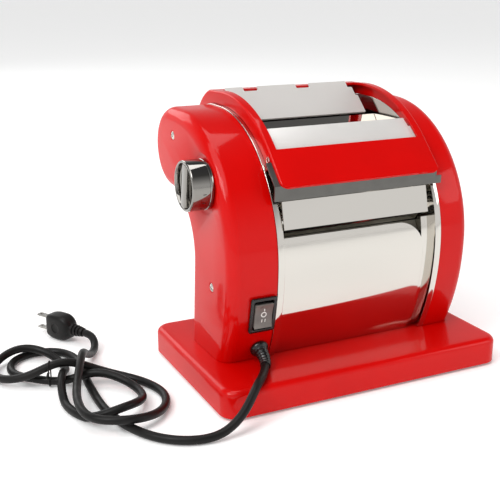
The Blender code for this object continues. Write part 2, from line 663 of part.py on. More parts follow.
def spiral_slot(axis):
    """The cam's slot. Turned about +X by some angle, it has the follower that much further out."""
    half = FOLLOWER_R + 0.0004
    start = math.atan2(LIFT_DIRECTION.z, LIFT_DIRECTION.y)

    def place(turn, offset):
        radius = FOLLOWER_START + LIFT * turn / CAM_TURN + offset
        return Vector(axis) + Vector((math.cos(start - turn), math.sin(start - turn))) * radius

    def round_end(turn, way):
        middle = place(turn, 0)
        out = (place(turn, half) - middle) * way
        along = Vector((math.sin(start - turn), -math.cos(start - turn))) * half * way
        return [middle + out * math.cos(math.pi * k / 6) + along * math.sin(math.pi * k / 6) for k in range(1, 6)]

    turns = [CAM_TURN * i / 28 for i in range(29)]
    outer = [place(turn, half) for turn in turns]
    inner = [place(turn, -half) for turn in reversed(turns)]
    return outer + round_end(CAM_TURN, 1) + inner + round_end(0, -1)


def regulator():
    axis = (KNOB_Y, KNOB_Z)
    cam_face = LEFT_PLATE - 0.0050
    outlines = [circle(axis, CAM_R, 36), spiral_slot(axis), circle(axis, 0.0036, 16)]
    keep(slab("regulator_cam", outlines, cam_face - 0.0040, cam_face), STEEL)
    keep(rod("regulator_shaft", -0.1270, cam_face - 0.0006, 0.0032, axis, steps=16), STEEL)

    rim = 0.0022
    face, back = KNOB_FACE, KNOB_BACK
    body = [(face + 0.0025, 0), (face + 0.0025, KNOB_R - rim - 0.001), (face, KNOB_R - rim)]
    body += [(face, KNOB_R - 0.0012), (face + 0.0012, KNOB_R)]
    body += [(back - 0.0008, KNOB_R), (back, KNOB_R - 0.0008), (back, 0)]
    knob = turned("regulator_knob", body, axis, 32)
    reach = KNOB_R - rim - 0.0004
    low, high = (face - 0.0002, KNOB_Y - 0.0048, KNOB_Z - reach), (face + 0.0050, KNOB_Y + 0.0048, KNOB_Z + reach)
    join(keep(knob, CHROME), as_cutter(box("knob_grip", low, high)))
    cut(knob, as_cutter(rod("knob_bore", -0.1275, back + 0.004, 0.0036, axis, steps=16)))

    turns, per_turn, wire = 4, 9, 0.0006
    x_from, x_to = LEFT_END + HOUSING_WALL + 0.0008, -0.0925
    curve = bpy.data.curves.new("knob_spring", "CURVE")
    curve.dimensions, curve.bevel_depth, curve.bevel_resolution, curve.use_fill_caps = "3D", wire, 2, True
    spline = curve.splines.new("POLY")
    count = turns * per_turn
    spline.points.add(count)
    for i, point in enumerate(spline.points):
        turn = 2 * math.pi * i / per_turn
        across = Vector((math.cos(turn), math.sin(turn))) * 0.0052
        point.co = (x_from + (x_to - x_from) * i / count, axis[0] + across.x, axis[1] + across.y, 1)
    keep(bpy.data.objects.new("knob_spring", curve), STEEL)


# ---------------------------------------------------------------- switch


def switch_place():
    """Stands on the housing's front, leaning as the surface leans."""
    y = shin_y(SWITCH_Z)
    lean = math.asin((FRONT_Z - SWITCH_Z) / SHIN_R)
    return Matrix.Translation((SWITCH_X, y, SWITCH_Z)) @ Matrix.Rotation(lean, 4, "X")


def switch():
    w, h = SWITCH_W / 2, SWITCH_H / 2
    place = switch_place()
    front, flange = -0.0026, -0.0004
    bezel = box("switch_bezel", (-w, front, -h), (w, flange, h), 0.0007)
    neck = box("switch_neck", (-w + 0.0020, flange - 0.0010, -h + 0.0016), (w - 0.0020, 0.0130, h - 0.0016))
    well = box("switch_well", (-w + 0.0032, front - 0.004, -h + 0.0030), (w - 0.0032, 0.0110, h - 0.0030))
    for item in (bezel, neck, well):
        item.matrix_world = place @ item.matrix_basis
    join(keep(bezel, BLACK), as_cutter(neck))
    cut(bezel, as_cutter(well))
    hw, hh = w - 0.0040, h - 0.0050
    face = [(-0.0040, hh), (-0.0046, hh * 0.96), (-0.0030, 0.0), (-0.0046, -hh * 0.96), (-0.0040, -hh)]
    outline = face + [(0.0030, -hh * 0.80), (0.0052, 0.0), (0.0030, hh * 0.80)]
    rocker = slab("switch_rocker", [outline], -hw, hw)
    rocker.matrix_world = place @ rocker.matrix_basis
    keep(rocker, BLACK)


# ---------------------------------------------------------------- lead and plug


def ring(centre, along, radius, steps=16):
    """Points round a direction, for a loft."""
    side = along.cross(Vector((0, 0, 1))).normalized()
    up = side.cross(along).normalized()
    turns = [2 * math.pi * i / steps for i in range(steps)]
    return [Vector(centre) + (side * math.cos(t) + up * math.sin(t)) * radius for t in turns]


def grip_out():
    """The way the housing's front faces where the lead leaves it."""
    lean = math.asin((FRONT_Z - GRIP_Z) / SHIN_R)
    return Vector((0, -math.cos(lean), -math.sin(lean)))


def grip_point(depth):
    """On the grip's axis, so far inside the housing's front."""
    return Vector((GRIP_X, shin_y(GRIP_Z), GRIP_Z)) - grip_out() * depth


def cable_grip():
    """A neck through the wall, a flange, and a sleeve that tapers along the lead's first bend."""
    out, end = grip_out(), Vector(LEAD_ROUTE[0]) / 1000
    leave = (Vector(LEAD_ROUTE[1]) / 1000 - end).normalized()
    sections = []
    for depth, radius in ((0.008, 0.0050), (0.007, GRIP_R), (-0.0005, GRIP_R), (-0.0005, 0.0072), (-0.0013, 0.0080), (-0.0030, 0.0080), (-0.0040, 0.0068)):
        sections.append(ring(grip_point(depth), out, radius))
    start = grip_point(-0.0040)
    reach = (end - start).length
    for i in range(1, 7):
        t = i / 6
        h = (2 * t**3 - 3 * t**2 + 1, t**3 - 2 * t**2 + t, 3 * t**2 - 2 * t**3, t**3 - t**2)
        place = start * h[0] + out * reach * h[1] + end * h[2] + leave * reach * h[3]
        sections.append(ring(place, out.lerp(leave, t).normalized(), 0.0060 + (0.0044 - 0.0060) * t))
    keep(loft("cable_grip", sections), BLACK)


def smooth_through(points, count):
    """Evenly read points of the natural cubic curve through the given ones."""
    points = np.array(points, float)
    knots = np.append(0, np.cumsum(np.linalg.norm(np.diff(points, axis=0), axis=1)))
    step = np.diff(knots)
    system, right = np.eye(len(points)), np.zeros_like(points)
    for i in range(1, len(points) - 1):
        system[i, i - 1 : i + 2] = step[i - 1], 2 * (step[i - 1] + step[i]), step[i]
        right[i] = 6 * ((points[i + 1] - points[i]) / step[i] - (points[i] - points[i - 1]) / step[i - 1])
    bend = np.linalg.solve(system, right)
    at = np.linspace(0, knots[-1], count)
    piece = np.clip(np.searchsorted(knots, at) - 1, 0, len(step) - 1)
    before = ((knots[piece + 1] - at) / step[piece])[:, None]
    after = 1 - before
    curve = (before**3 - before) * bend[piece] + (after**3 - after) * bend[piece + 1]
    return before * points[piece] + after * points[piece + 1] + curve * (step[piece] ** 2)[:, None] / 6


def wire(name, points, radius, closed=False):
    curve = bpy.data.curves.new(name, "CURVE")
    curve.dimensions, curve.bevel_depth, curve.bevel_resolution = "3D", radius, 2
    curve.use_fill_caps = not closed
    spline = curve.splines.new("POLY")
    spline.points.add(len(points) - 1)
    spline.use_cyclic_u = closed
    for point, place in zip(spline.points, points):
        point.co = (*place, 1)
    return bpy.data.objects.new(name, curve)


def lead():
    line = smooth_through(LEAD_ROUTE, CORD_POINTS) / 1000
    line[:, 2] = np.maximum(line[:, 2], CORD_R + 0.0001)
    start = Vector(line[0]) + (Vector(line[1]) - Vector(line[0])).normalized() * GAP
    keep(wire("cord", [start] + [Vector(point) for point in line[1:]], CORD_R), BLACK)

    # The tie goes round two runs of the lead, one above the other
    loop = arc((0, 0.0064), 0.0049, 0, 180, 6) + arc((0, -0.0064), 0.0049, 180, 360, 6)
    across, up = Vector((0.40, 0.917, 0)), Vector((0, 0, 1))
    oval = [Vector(TIE_PLACE) + across * side + up * height for side, height in loop]
    keep(wire("cord_tie", oval, 0.0006, closed=True), BLACK)


# The plug's stations: how far along it, half its height, half its thickness
PLUG_BODY = (
    (0.0000, 0.0044, 0.0044), (0.0130, 0.0058, 0.0058), (0.0142, 0.0062, 0.0062), (0.0185, 0.0100, 0.0078),
    (0.0250, 0.0128, 0.0086), (0.0360, 0.0128, 0.0084), (0.0425, 0.0112, 0.0076), (0.0440, 0.0102, 0.0068),
)


def plug():
    """A moulded two-blade plug that lies on its edge."""
    place = Matrix.Translation(PLUG_PLACE) @ Matrix.Rotation(PLUG_TURN, 4, "Z")
    sections = []
    for along, height, thick in PLUG_BODY:
        corner = min(height, thick) * (1 if height == thick else 0.62)
        section = []
        for sy, sz, start in ((1, 1, 0), (-1, 1, 90), (-1, -1, 180), (1, -1, 270)):
            centre = (sy * (thick - corner), sz * (height - corner))
            section += arc(centre, corner, start, start + 90, 3)
        sections.append([(along, y, z) for y, z in section])
    body = loft("plug_body", sections)
    nose, root = PLUG_BODY[-1][0], 0.007
    for level, side in (("upper", 1), ("lower", -1)):
        z = side * BLADE_SPACING / 2
        socket = box("blade_socket", (nose - root - GAP, -0.0035, z - 0.0011), (nose + 0.002, 0.0035, z + 0.0011))
        socket.matrix_world = place @ socket.matrix_basis
        cut(body, as_cutter(socket))
        blade = box("plug_blade_" + level, (nose - root, -0.0032, z - 0.00075), (nose + 0.017, 0.0032, z + 0.00075))
        blade.matrix_world = place @ blade.matrix_basis
        keep(blade, STEEL)
    body.matrix_world = place
    keep(body, BLACK)


base()
housings()
side_plates()
sheets()
scrapers()
tie_rods()
hood()
feed_guides()
rollers()
reduction()
regulator()
switch()
cable_grip()
lead()
plug()
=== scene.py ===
"""Looks of an electric pasta roller machine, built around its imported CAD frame.

Laid out as a Blender add-on with one operator for each piece or group of pieces, and run as a script.
The machine's shapes are worked out about the middle of its base, in metres, and shifted at the end to
the frame's origin.
"""

import json
import math

import bmesh
import bpy
import numpy as np
from mathutils import Matrix, Vector

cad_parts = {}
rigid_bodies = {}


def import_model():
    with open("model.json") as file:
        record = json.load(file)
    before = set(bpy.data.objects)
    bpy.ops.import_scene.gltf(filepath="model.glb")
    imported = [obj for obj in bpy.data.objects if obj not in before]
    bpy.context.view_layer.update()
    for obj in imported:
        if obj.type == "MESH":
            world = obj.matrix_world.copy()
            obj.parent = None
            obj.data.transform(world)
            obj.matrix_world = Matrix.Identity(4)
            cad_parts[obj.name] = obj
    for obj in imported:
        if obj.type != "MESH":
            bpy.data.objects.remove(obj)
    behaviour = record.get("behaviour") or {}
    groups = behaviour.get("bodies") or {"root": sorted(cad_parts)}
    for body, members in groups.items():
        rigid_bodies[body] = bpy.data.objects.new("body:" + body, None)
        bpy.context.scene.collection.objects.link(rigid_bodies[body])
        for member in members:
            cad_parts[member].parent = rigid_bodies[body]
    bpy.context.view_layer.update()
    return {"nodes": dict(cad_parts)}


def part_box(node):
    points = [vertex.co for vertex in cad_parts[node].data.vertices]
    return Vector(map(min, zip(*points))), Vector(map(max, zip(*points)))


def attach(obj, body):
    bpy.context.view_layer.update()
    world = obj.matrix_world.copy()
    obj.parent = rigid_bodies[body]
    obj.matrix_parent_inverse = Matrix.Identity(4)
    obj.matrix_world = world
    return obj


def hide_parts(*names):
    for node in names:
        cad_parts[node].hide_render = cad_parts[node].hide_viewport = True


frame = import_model()

bl_info = {
    "name": "Pasta Roller Machine",
    "version": (1, 0, 0),
    "blender": (4, 5, 0),
    "location": "View3D > Sidebar > Pasta Roller",
    "description": "Builds the machine's finished pieces, materials and studio around its CAD frame",
    "category": "Object",
}


def span(node):
    low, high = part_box(node)
    return Vector(low), Vector(high)


BASE_LOW, BASE_HIGH = span("base_shell")
SHIFT = (BASE_LOW.y + BASE_HIGH.y) / 2
LEFT_END, RIM_LEFT = span("left_housing")[0].x, span("left_side_plate")[0].x
RIGHT_END, RIM_RIGHT = span("right_housing")[1].x, span("right_side_plate")[1].x
LEFT_PLATE, RIGHT_PLATE = span("left_side_plate")[1].x, span("right_side_plate")[0].x
GAP = 0.0003
BODY_FLOOR = BASE_HIGH.z + GAP
RIM_PROUD = 0.0008
PLATE = 0.0015

# Side outline in Y and Z: front arc, head arc and the hollow of the neck
FRONT_Y, FRONT_Z, FRONT_R = 0.068, 0.112, 0.118
SHIN_R = 0.200
HEAD_Y, HEAD_Z, HEAD_R = 0.085, 0.193, 0.037
NECK_R, NECK_FOOT = 0.051, 0.006
HOOD_Y, HOOD_Z, HOOD_R = 0.069, 0.111, 0.132
HOOD_REAR = HEAD_Y + HEAD_R + HOOD_R - FRONT_R
HOOD_WALL, HOOD_BEND, HOOD_PLATE, HOOD_BACK = 0.0022, 135, 0.035, 0.193
RAIL_TOP = 0.008

# Rollers, knob, switch and lead
KNOB = Vector((0, 0.002, 0.177))
KNOB_R = (span("regulator_knob")[1].z - span("regulator_knob")[0].z) / 2
LIFT_DIRECTION = Vector((0, 0.010, 0.0344)).normalized()
DRIVE = KNOB - LIFT_DIRECTION * 0.0358
ROLLER_R, JOURNAL_R = 0.0175, 0.006
SWITCH_X, SWITCH_Z, SWITCH_W, SWITCH_H = -0.0874, 0.073, 0.0242, 0.0330
GRIP_X, GRIP_Z, GRIP_R = -0.0856, 0.0385, 0.0055
CORD_R = 0.0036
LEAD_ROUTE = (
    (-0.09, -0.058, 0.031), (-0.098, -0.07, 0.03), (-0.112, -0.087, 0.0296), (-0.128, -0.1, 0.019),
    (-0.15, -0.105, 0.006), (-0.176, -0.101, 0.0037), (-0.198, -0.084, 0.0037), (-0.212, -0.057, 0.0037),
    (-0.219, -0.024, 0.0037), (-0.219, 0.014, 0.0037), (-0.216, 0.052, 0.0037), (-0.214, 0.084, 0.0037),
    (-0.224, 0.107, 0.0037), (-0.246, 0.115, 0.0037), (-0.267, 0.104, 0.0037), (-0.273, 0.08, 0.004),
    (-0.259, 0.055, 0.0056), (-0.236, 0.04, 0.006), (-0.213, 0.029, 0.0129), (-0.188, 0.007, 0.0075),
    (-0.186, -0.021, 0.007), (-0.21, -0.043, 0.0122), (-0.234, -0.034, 0.005), (-0.246, 0, 0.0037),
    (-0.239, 0.036, 0.0138), (-0.229, 0.068, 0.005), (-0.236, 0.097, 0.008), (-0.259, 0.112, 0.0118),
    (-0.283, 0.101, 0.007), (-0.288, 0.073, 0.0055), (-0.266, 0.05, 0.012), (-0.237, 0.046, 0.0204),
    (-0.205, 0.038, 0.0105), (-0.178, 0.017, 0.0046), (-0.166, -0.016, 0.0037), (-0.18, -0.049, 0.006),
    (-0.21, -0.064, 0.0116), (-0.237, -0.047, 0.0115), (-0.24, -0.018, 0.013), (-0.23, 0.018, 0.0165),
    (-0.218, 0.047, 0.024), (-0.205, 0.077, 0.01), (-0.196, 0.092, 0.005), (-0.191, 0.103, 0.0075),
    (-0.1914, 0.114, 0.0118), (-0.1954, 0.1214, 0.0129),
)
TIE_PLACE = Vector((-0.2475, 0.0466, 0.0119))
PLUG_PLACE, PLUG_TURN = Vector((-0.1960, 0.1223, 0.0130)), math.radians(120)
BLADE_SPACING = 0.0127


# ---------------------------------------------------------------- settings


def length_property(name, description, value):
    return bpy.props.FloatProperty(name=name, description=description, default=value, unit="LENGTH")


class MachineSizes(bpy.types.PropertyGroup):
    housing_round: length_property("Housing Round", "Radius of the housings' outer edge", 0.011)
    sheet: length_property("Sheet", "Thickness of the front sheets", 0.0012)
    knob_radius: length_property("Knob Radius", "Outer radius of the gap regulator's knob", KNOB_R)
    peel: length_property("Orange Peel", "Width of the ripples in the sprayed enamel", 0.0035)
    brush_line: length_property("Brush Line", "Spacing of the brushed lines on steel", 0.0006)


def colour_property(name, description, code):
    value = tuple(int(code[i : i + 2], 16) / 255 for i in (1, 3, 5))
    return bpy.props.FloatVectorProperty(
        name=name, description=description, subtype="COLOR_GAMMA", size=3, min=0, max=1, default=value
    )


class MachineColours(bpy.types.PropertyGroup):
    enamel: colour_property("Enamel", "Red gloss enamel of base, housings and hood", "#CE0200")
    chrome: colour_property("Chrome", "Polished chromed sheet and rollers", "#D5D1CA")
    steel: colour_property("Steel", "Machined steel of gears, shafts and screws", "#A9A7A2")
    guides: colour_property("Guides", "Frosted plastic of the feed guides", "#DFDCD8")
    black: colour_property("Black", "Moulded black plastic", "#0F0F0F")
    vinyl: colour_property("Vinyl", "PVC jacket of the lead and plug", "#121110")
    # The rocker's mid grey is lighter than the rocker itself: painted sheen, standing in for its bright
    # reflections
    rocker: colour_property("Rocker", "Grey of the switch's rocker, lightened as painted sheen", "#6E6863")
    marks: colour_property("Marks", "Printed marks on the rocker and the knob", "#EDEBE6")
    nylon: colour_property("Nylon", "Natural nylon of scrapers and the large gear", "#D8D3C2")
    bronze: colour_property("Bronze", "Sintered bronze of the bearings", "#9A7440")
    rubber: colour_property("Rubber", "Rubber of the feet", "#161616")
    floor: colour_property("Floor", "Pale studio floor", "#FBFBFA")


# ---------------------------------------------------------------- materials


def linear(colour):
    """An sRGB hex code, or three sRGB values, as a linear colour with alpha."""
    if isinstance(colour, str):
        colour = [int(colour[i : i + 2], 16) / 255 for i in (1, 3, 5)]
    return [c / 12.92 if c <= 0.04045 else ((c + 0.055) / 1.055) ** 2.4 for c in colour] + [1.0]


def add_node(tree, kind, settings=None, links=None):
    """Adds a node, sets its properties and input values, and links (socket, from node, from socket)."""
    node = tree.nodes.new(kind)
    for name, value in (settings or {}).items():
        if name in node.inputs:
            node.inputs[name].default_value = value
        else:
            setattr(node, name, value)
    for socket, source, output in links or ():
        tree.links.new(source.outputs[output], node.inputs[socket])
    return node


def start(name, colour, metallic, roughness, **more):
    """A Principled material and its tree, shader and object coordinates."""
    made = bpy.data.materials.new(name)
    made.use_nodes = True
    tree = made.node_tree
    shader = tree.nodes["Principled BSDF"]
    shader.inputs["Base Color"].default_value = linear(colour)
    shader.inputs["Metallic"].default_value = metallic
    shader.inputs["Roughness"].default_value = roughness
    for socket, value in more.items():
        shader.inputs[socket.replace("_", " ")].default_value = value
    place = add_node(tree, "ShaderNodeTexCoord")
    return made, tree, shader, place


def grain(tree, place, width, detail, stretch):
    """Noise whose features are `width` wide, drawn out along the axes where `stretch` is under 1."""
    scaled = add_node(tree, "ShaderNodeMapping", {"Scale": stretch}, [("Vector", place, "Object")])
    settings = {"Scale": 1 / width, "Detail": detail}
    return add_node(tree, "ShaderNodeTexNoise", settings, [("Vector", scaled, "Vector")])


def ripple(tree, shader, place, width, depth, detail=2.0, stretch=(1, 1, 1)):
    """Bump on the shader's normal, `depth` high."""
    noise = grain(tree, place, width, detail, stretch)
    bump = add_node(tree, "ShaderNodeBump", {"Distance": depth}, [("Height", noise, "Fac")])
    tree.links.new(bump.outputs["Normal"], shader.inputs["Normal"])
    return bump


def vary(tree, shader, place, socket, low, high, width, stretch=(1, 1, 1)):
    """Lets one value wander between low and high over patches of a width."""
    noise = grain(tree, place, width, 4.0, stretch)
    settings = {"From Min": 0.3, "From Max": 0.7, "To Min": low, "To Max": high}
    spread = add_node(tree, "ShaderNodeMapRange", settings, [("Value", noise, "Fac")])
    tree.links.new(spread.outputs["Result"], shader.inputs[socket])


def mottle(tree, shader, place, first, second, width, stretch=(1, 1, 1)):
    """Lets the base colour drift between two near tones."""
    noise = grain(tree, place, width, 5.0, stretch)
    ramp = add_node(tree, "ShaderNodeValToRGB", None, [("Fac", noise, "Fac")])
    for element, position, colour in zip(ramp.color_ramp.elements, (0.35, 0.65), (first, second)):
        element.position = position
        element.color = linear(colour)
    tree.links.new(ramp.outputs["Color"], shader.inputs["Base Color"])


def tone(colour, factor):
    return [min(1.0, c * factor) for c in colour]


def sprayed_enamel(colour, peel):
    """Stoved gloss enamel over metal: a deep colour under a clear glassy skin with faint orange peel."""
    coat = {"Coat_Weight": 0.38, "Coat_Roughness": 0.07, "Specular_IOR_Level": 0.06}
    made, tree, shader, place = start("Enamel gloss red", colour, 0, 0.45, IOR=1.45, **coat)
    mottle(tree, shader, place, tone(colour, 0.97), tone(colour, 1.0), 0.05)
    vary(tree, shader, place, "Coat Roughness", 0.05, 0.10, 0.03)
    bump = ripple(tree, shader, place, peel, 0.000003)
    tree.links.new(bump.outputs["Normal"], shader.inputs["Coat Normal"])
    return made


def surface(name, colour, metallic, roughness, relief, tones=None, gloss=None, stretch=(1, 1, 1), **more):
    """A material that varies over its surface, in patches as wide as the last number of each pattern.

    `tones` starts with two factors on its colour, `gloss` with two roughnesses, `relief` with a height.
    """
    made, tree, shader, place = start(name, colour, metallic, roughness, **more)
    if tones:
        mottle(tree, shader, place, tone(colour, tones[0]), tone(colour, tones[1]), tones[2], stretch)
    if gloss:
        vary(tree, shader, place, "Roughness", *gloss, stretch)
    ripple(tree, shader, place, relief[1], relief[0], stretch=stretch)
    return made


def polished_chrome(name, colour):
    """Chromed steel, mirror bright, with faint wiping marks that only blur the reflection; its darker copy is
    painted shade.
    """
    made, tree, shader, place = start(name, colour, 1, 0.05)
    vary(tree, shader, place, "Roughness", 0.03, 0.10, 0.03, stretch=(0.35, 1, 1))
    ripple(tree, shader, place, 0.045, 0.00003, detail=1.0)
    return made


def roller_chrome(colour, line):
    """Ground and chromed roller: fine turning lines round the barrel."""
    made, tree, shader, place = start("Chrome ground roller", colour, 0.9, 0.16)
    vary(tree, shader, place, "Roughness", 0.07, 0.16, 0.02)
    ripple(tree, shader, place, line, 0.000004, stretch=(1, 0.02, 0.02))
    return made


def brushed_steel(colour, line):
    """Brushed stainless sheet: long hairlines along X, drawn coarser than real ones so that they show."""
    return surface(
        "Stainless steel brushed", colour, 1, 0.28, tones=(0.92, 1.04, line * 2), gloss=(0.22, 0.36, line),
        relief=(0.00001, line), stretch=(0.02, 1, 1),
    )


def machined_steel(colour):
    """Turned and hobbed steel with a film of oil: grey, with darker and lighter patches."""
    return surface(
        "Steel machined", colour, 1, 0.30, tones=(0.8, 1.05, 0.006), gloss=(0.22, 0.42, 0.004),
        relief=(0.00001, 0.0008),
    )


def plated_zinc(colour):
    """Unpolished steel sheet, darkened to an even dark grey as painted shade for the dark reflection on the
    rail, with soft reflections.
    """
    return surface(
        "Zinc plated sheet", colour, 1, 0.32, tones=(0.97, 1.01, 0.012), gloss=(0.28, 0.38, 0.010),
        relief=(0.000005, 0.0010),
    )


def frosted_acrylic(colour):
    """Frosted acrylic sheet, moulded: milky, lets a little light through, with a fine satin grain."""
    return surface(
        "Acrylic frosted", colour, 0, 0.38, gloss=(0.30, 0.46, 0.012), relief=(0.00002, 0.0007), IOR=1.49,
        Transmission_Weight=0.22, Subsurface_Weight=0.25, Subsurface_Radius=(0.004, 0.004, 0.004),
    )


def moulded_plastic(name, colour, roughness, texture):
    """Moulded ABS or nylon: even colour with a fine spark-eroded grain."""
    return surface(
        name, colour, 0, roughness, tones=(0.9, 1.06, 0.01), gloss=(roughness * 0.85, roughness * 1.2, 0.005),
        relief=(0.00002, texture), IOR=1.53,
    )


def vinyl_jacket(colour):
    """Extruded PVC jacket: satin black, a little uneven in tone and gloss."""
    return surface(
        "PVC jacket satin", colour, 0, 0.38, tones=(0.85, 1.2, 0.012), gloss=(0.36, 0.52, 0.006),
        relief=(0.00003, 0.0011), IOR=1.5, Specular_IOR_Level=0.22,
    )


def sintered_bronze(colour):
    """Sintered bronze bush: porous, oiled, brownish."""
    return surface(
        "Bronze sintered", colour, 1, 0.36, tones=(0.8, 1.1, 0.002), gloss=(0.28, 0.48, 0.002),
        relief=(0.00002, 0.0005),
    )


def foot_rubber(colour):
    """Moulded rubber: matt black, with a bloom of dust in patches."""
    return surface(
        "Rubber moulded", colour, 0, 0.75, tones=(1, 1.6, 0.006), gloss=(0.68, 0.85, 0.004),
        relief=(0.00003, 0.0006), IOR=1.52,
    )


def print_ink(colour):
    """Pad-printed ink: thin, slightly uneven and matt."""
    return surface("Ink pad-printed", colour, 0, 0.5, tones=(0.86, 1, 0.0015), relief=(0.00001, 0.0004))


FINISHES = {}


def finishes():
    """Every material, made once from the settings."""
    if FINISHES:
        return FINISHES
    colours, sizes = bpy.context.scene.pasta_colours, bpy.context.scene.pasta_sizes
    FINISHES.update(
        enamel=sprayed_enamel(colours.enamel, sizes.peel),
        chrome=polished_chrome("Chrome polished sheet", colours.chrome),
        roller=roller_chrome(colours.chrome, sizes.brush_line),
        # A darker copy of the chrome for the knob: painted shade, standing in for the dark reflections on it
        smoke=polished_chrome("Chrome black, polished", tone(colours.chrome, 0.68)),
        brushed=brushed_steel(colours.steel, sizes.brush_line),
        steel=machined_steel(colours.steel),
        # The rail's sheet is the steel colour darkened: painted shade for its dark reflection
        zinc=plated_zinc(tone(colours.steel, 0.62)),
        guides=frosted_acrylic(colours.guides),
        black=moulded_plastic("ABS moulded black", colours.black, 0.26, 0.0009),
        # The rocker's grey stands in for its bright reflections: painted sheen
        rocker=moulded_plastic("Polycarbonate smoke grey", colours.rocker, 0.30, 0.0009),
        grey=moulded_plastic("ABS moulded grey", tone(colours.black, 1.8), 0.45, 0.0009),
        nylon=moulded_plastic("Nylon natural", colours.nylon, 0.42, 0.0012),
        vinyl=vinyl_jacket(colours.vinyl),
        bronze=sintered_bronze(colours.bronze),
        rubber=foot_rubber(colours.rubber),
        ink=print_ink(colours.marks),
        dark_ink=print_ink(tone(colours.black, 1.4)),
    )
    return FINISHES


# ---------------------------------------------------------------- outlines


def arc(centre, radius, first, last, steps):
    """Points on an arc in a plane; the angles are in degrees."""
    turns = [math.radians(first + (last - first) * i / steps) for i in range(steps + 1)]
    return [(centre[0] + radius * math.cos(t), centre[1] + radius * math.sin(t)) for t in turns]


def circle(centre, radius, steps=48):
    return arc(centre, radius, 0, 360 - 360 / steps, steps - 1)


def shin_y(z, out=0.0):
    return FRONT_Y - FRONT_R + SHIN_R - math.sqrt((SHIN_R + out) ** 2 - (FRONT_Z - z) ** 2)


def front_path(inset, first, bottom, upper_steps, lower_steps):
    """The front's line, set back by `inset`, from an angle on its upper arc down to a height."""
    low = 180 + math.degrees(math.asin((FRONT_Z - bottom) / (SHIN_R - inset)))
    path = arc((FRONT_Y, FRONT_Z), FRONT_R - inset, first, 180, upper_steps)
    return path + arc((FRONT_Y - FRONT_R + SHIN_R, FRONT_Z), SHIN_R - inset, 180, low, lower_steps)[1:]


SHIN_STEPS, FRONT_STEPS = 14, 44
HEAD_START = SHIN_STEPS + FRONT_STEPS  # where the head's arc starts in side_outline


def side_outline(out=0.0, bottom=BODY_FLOOR):
    """The outline that housings, plates and sheets share, moved out by a distance."""
    low = 180 + math.degrees(math.asin((FRONT_Z - bottom) / (SHIN_R + out)))
    neck = (HEAD_Y, HEAD_Z - HEAD_R - NECK_R)
    points = arc((FRONT_Y - FRONT_R + SHIN_R, FRONT_Z), SHIN_R + out, low, 180, SHIN_STEPS)
    points += arc((FRONT_Y, FRONT_Z), FRONT_R + out, 180, 90, FRONT_STEPS)[1:]
    points += arc((HEAD_Y, HEAD_Z), HEAD_R + out, 90, -90, 36)
    points += arc(neck, NECK_R - out, 90, 180, 20)[1:]
    points.append((neck[0] - NECK_R + out + NECK_FOOT, bottom))
    return points


def band(path, thickness):
    """A closed outline that follows an open path, thickness to its left."""
    inner = []
    for i, point in enumerate(path):
        before, after = Vector(path[max(i - 1, 0)]), Vector(path[min(i + 1, len(path) - 1)])
        along = (after - before).normalized()
        inner.append((point[0] - along.y * thickness, point[1] + along.x * thickness))
    return list(path) + inner[::-1]


def rounding(radius, steps=7):
    """(depth, inset) pairs down a quarter-round edge, face first."""
    turns = [math.pi / 2 * i / steps for i in range(steps + 1)]
    return [(radius * (1 - math.cos(t)), radius * (1 - math.sin(t))) for t in turns]


def rounded_rectangle(width, height, radius, steps=6):
    points = []
    for sx, sy, first in ((1, 1, 0), (-1, 1, 90), (-1, -1, 180), (1, -1, 270)):
        centre = (sx * (width / 2 - radius), sy * (height / 2 - radius))
        points += arc(centre, radius, first, first + 90, steps)
    return points


# ---------------------------------------------------------------- makers


def new_object(name, mesh):
    made = bpy.data.objects.new(name, mesh)
    bpy.context.scene.collection.objects.link(made)
    return made


def from_form(name, form):
    bmesh.ops.remove_doubles(form, verts=form.verts, dist=1e-7)
    bmesh.ops.recalc_face_normals(form, faces=form.faces)
    mesh = bpy.data.meshes.new(name)
    form.to_mesh(mesh)
    form.free()
    return new_object(name, mesh)


def loft(name, sections, closed=False):
    """A solid through rings with the same number of points; a closed one joins its last ring to the first."""
    form = bmesh.new()
    rings = [[form.verts.new(point) for point in section] for section in sections]
    if not closed:
        form.faces.new(rings[0][::-1])
        form.faces.new(rings[-1])
    pairs = list(zip(rings, rings[1:])) + ([(rings[-1], rings[0])] if closed else [])
    for ring, after in pairs:
        for i in range(len(ring)):
            j = (i + 1) % len(ring)
            form.faces.new((ring[i], ring[j], after[j], after[i]))
    return from_form(name, form)


def lathe(name, profile, centre, steps=64, closed=False):
    """A turned piece about an X axis through `centre` (y, z); the profile's points are (x, radius)."""
    sections = []
    for x, radius in profile:
        radius = max(radius, 1e-5)
        sections.append([(x, y, z) for y, z in circle(centre, radius, steps)])
    return loft(name, sections, closed)


def bar_profile(x0, x1, radius, edge):
    """The profile of a round bar with its two ends chamfered."""
    first = [(x0, 0), (x0, radius - edge), (x0 + edge, radius)]
    return first + [(x1 - edge, radius), (x1, radius - edge), (x1, 0)]


def ring_about(centre, along, radius, steps=40):
    side = along.cross(Vector((0, 0, 1))).normalized()
    up = side.cross(along).normalized()
    turns = [2 * math.pi * i / steps for i in range(steps)]
    return [centre + (side * math.cos(t) + up * math.sin(t)) * radius for t in turns]


def baked(item):
    """The object with its modifiers, or its curve, turned into a plain mesh."""
    evaluated = item.evaluated_get(bpy.context.evaluated_depsgraph_get())
    mesh = bpy.data.meshes.new_from_object(evaluated)
    mesh.transform(item.matrix_world)
    form = bmesh.new()
    form.from_mesh(mesh)
    name = item.name
    bpy.data.objects.remove(item)
    made = from_form(name, form)
    made.name = name
    return made


ACROSS = Matrix(((0, 0, 1, 0), (1, 0, 0, 0), (0, 1, 0, 0), (0, 0, 0, 1)))  # outline in Y and Z, thick along X


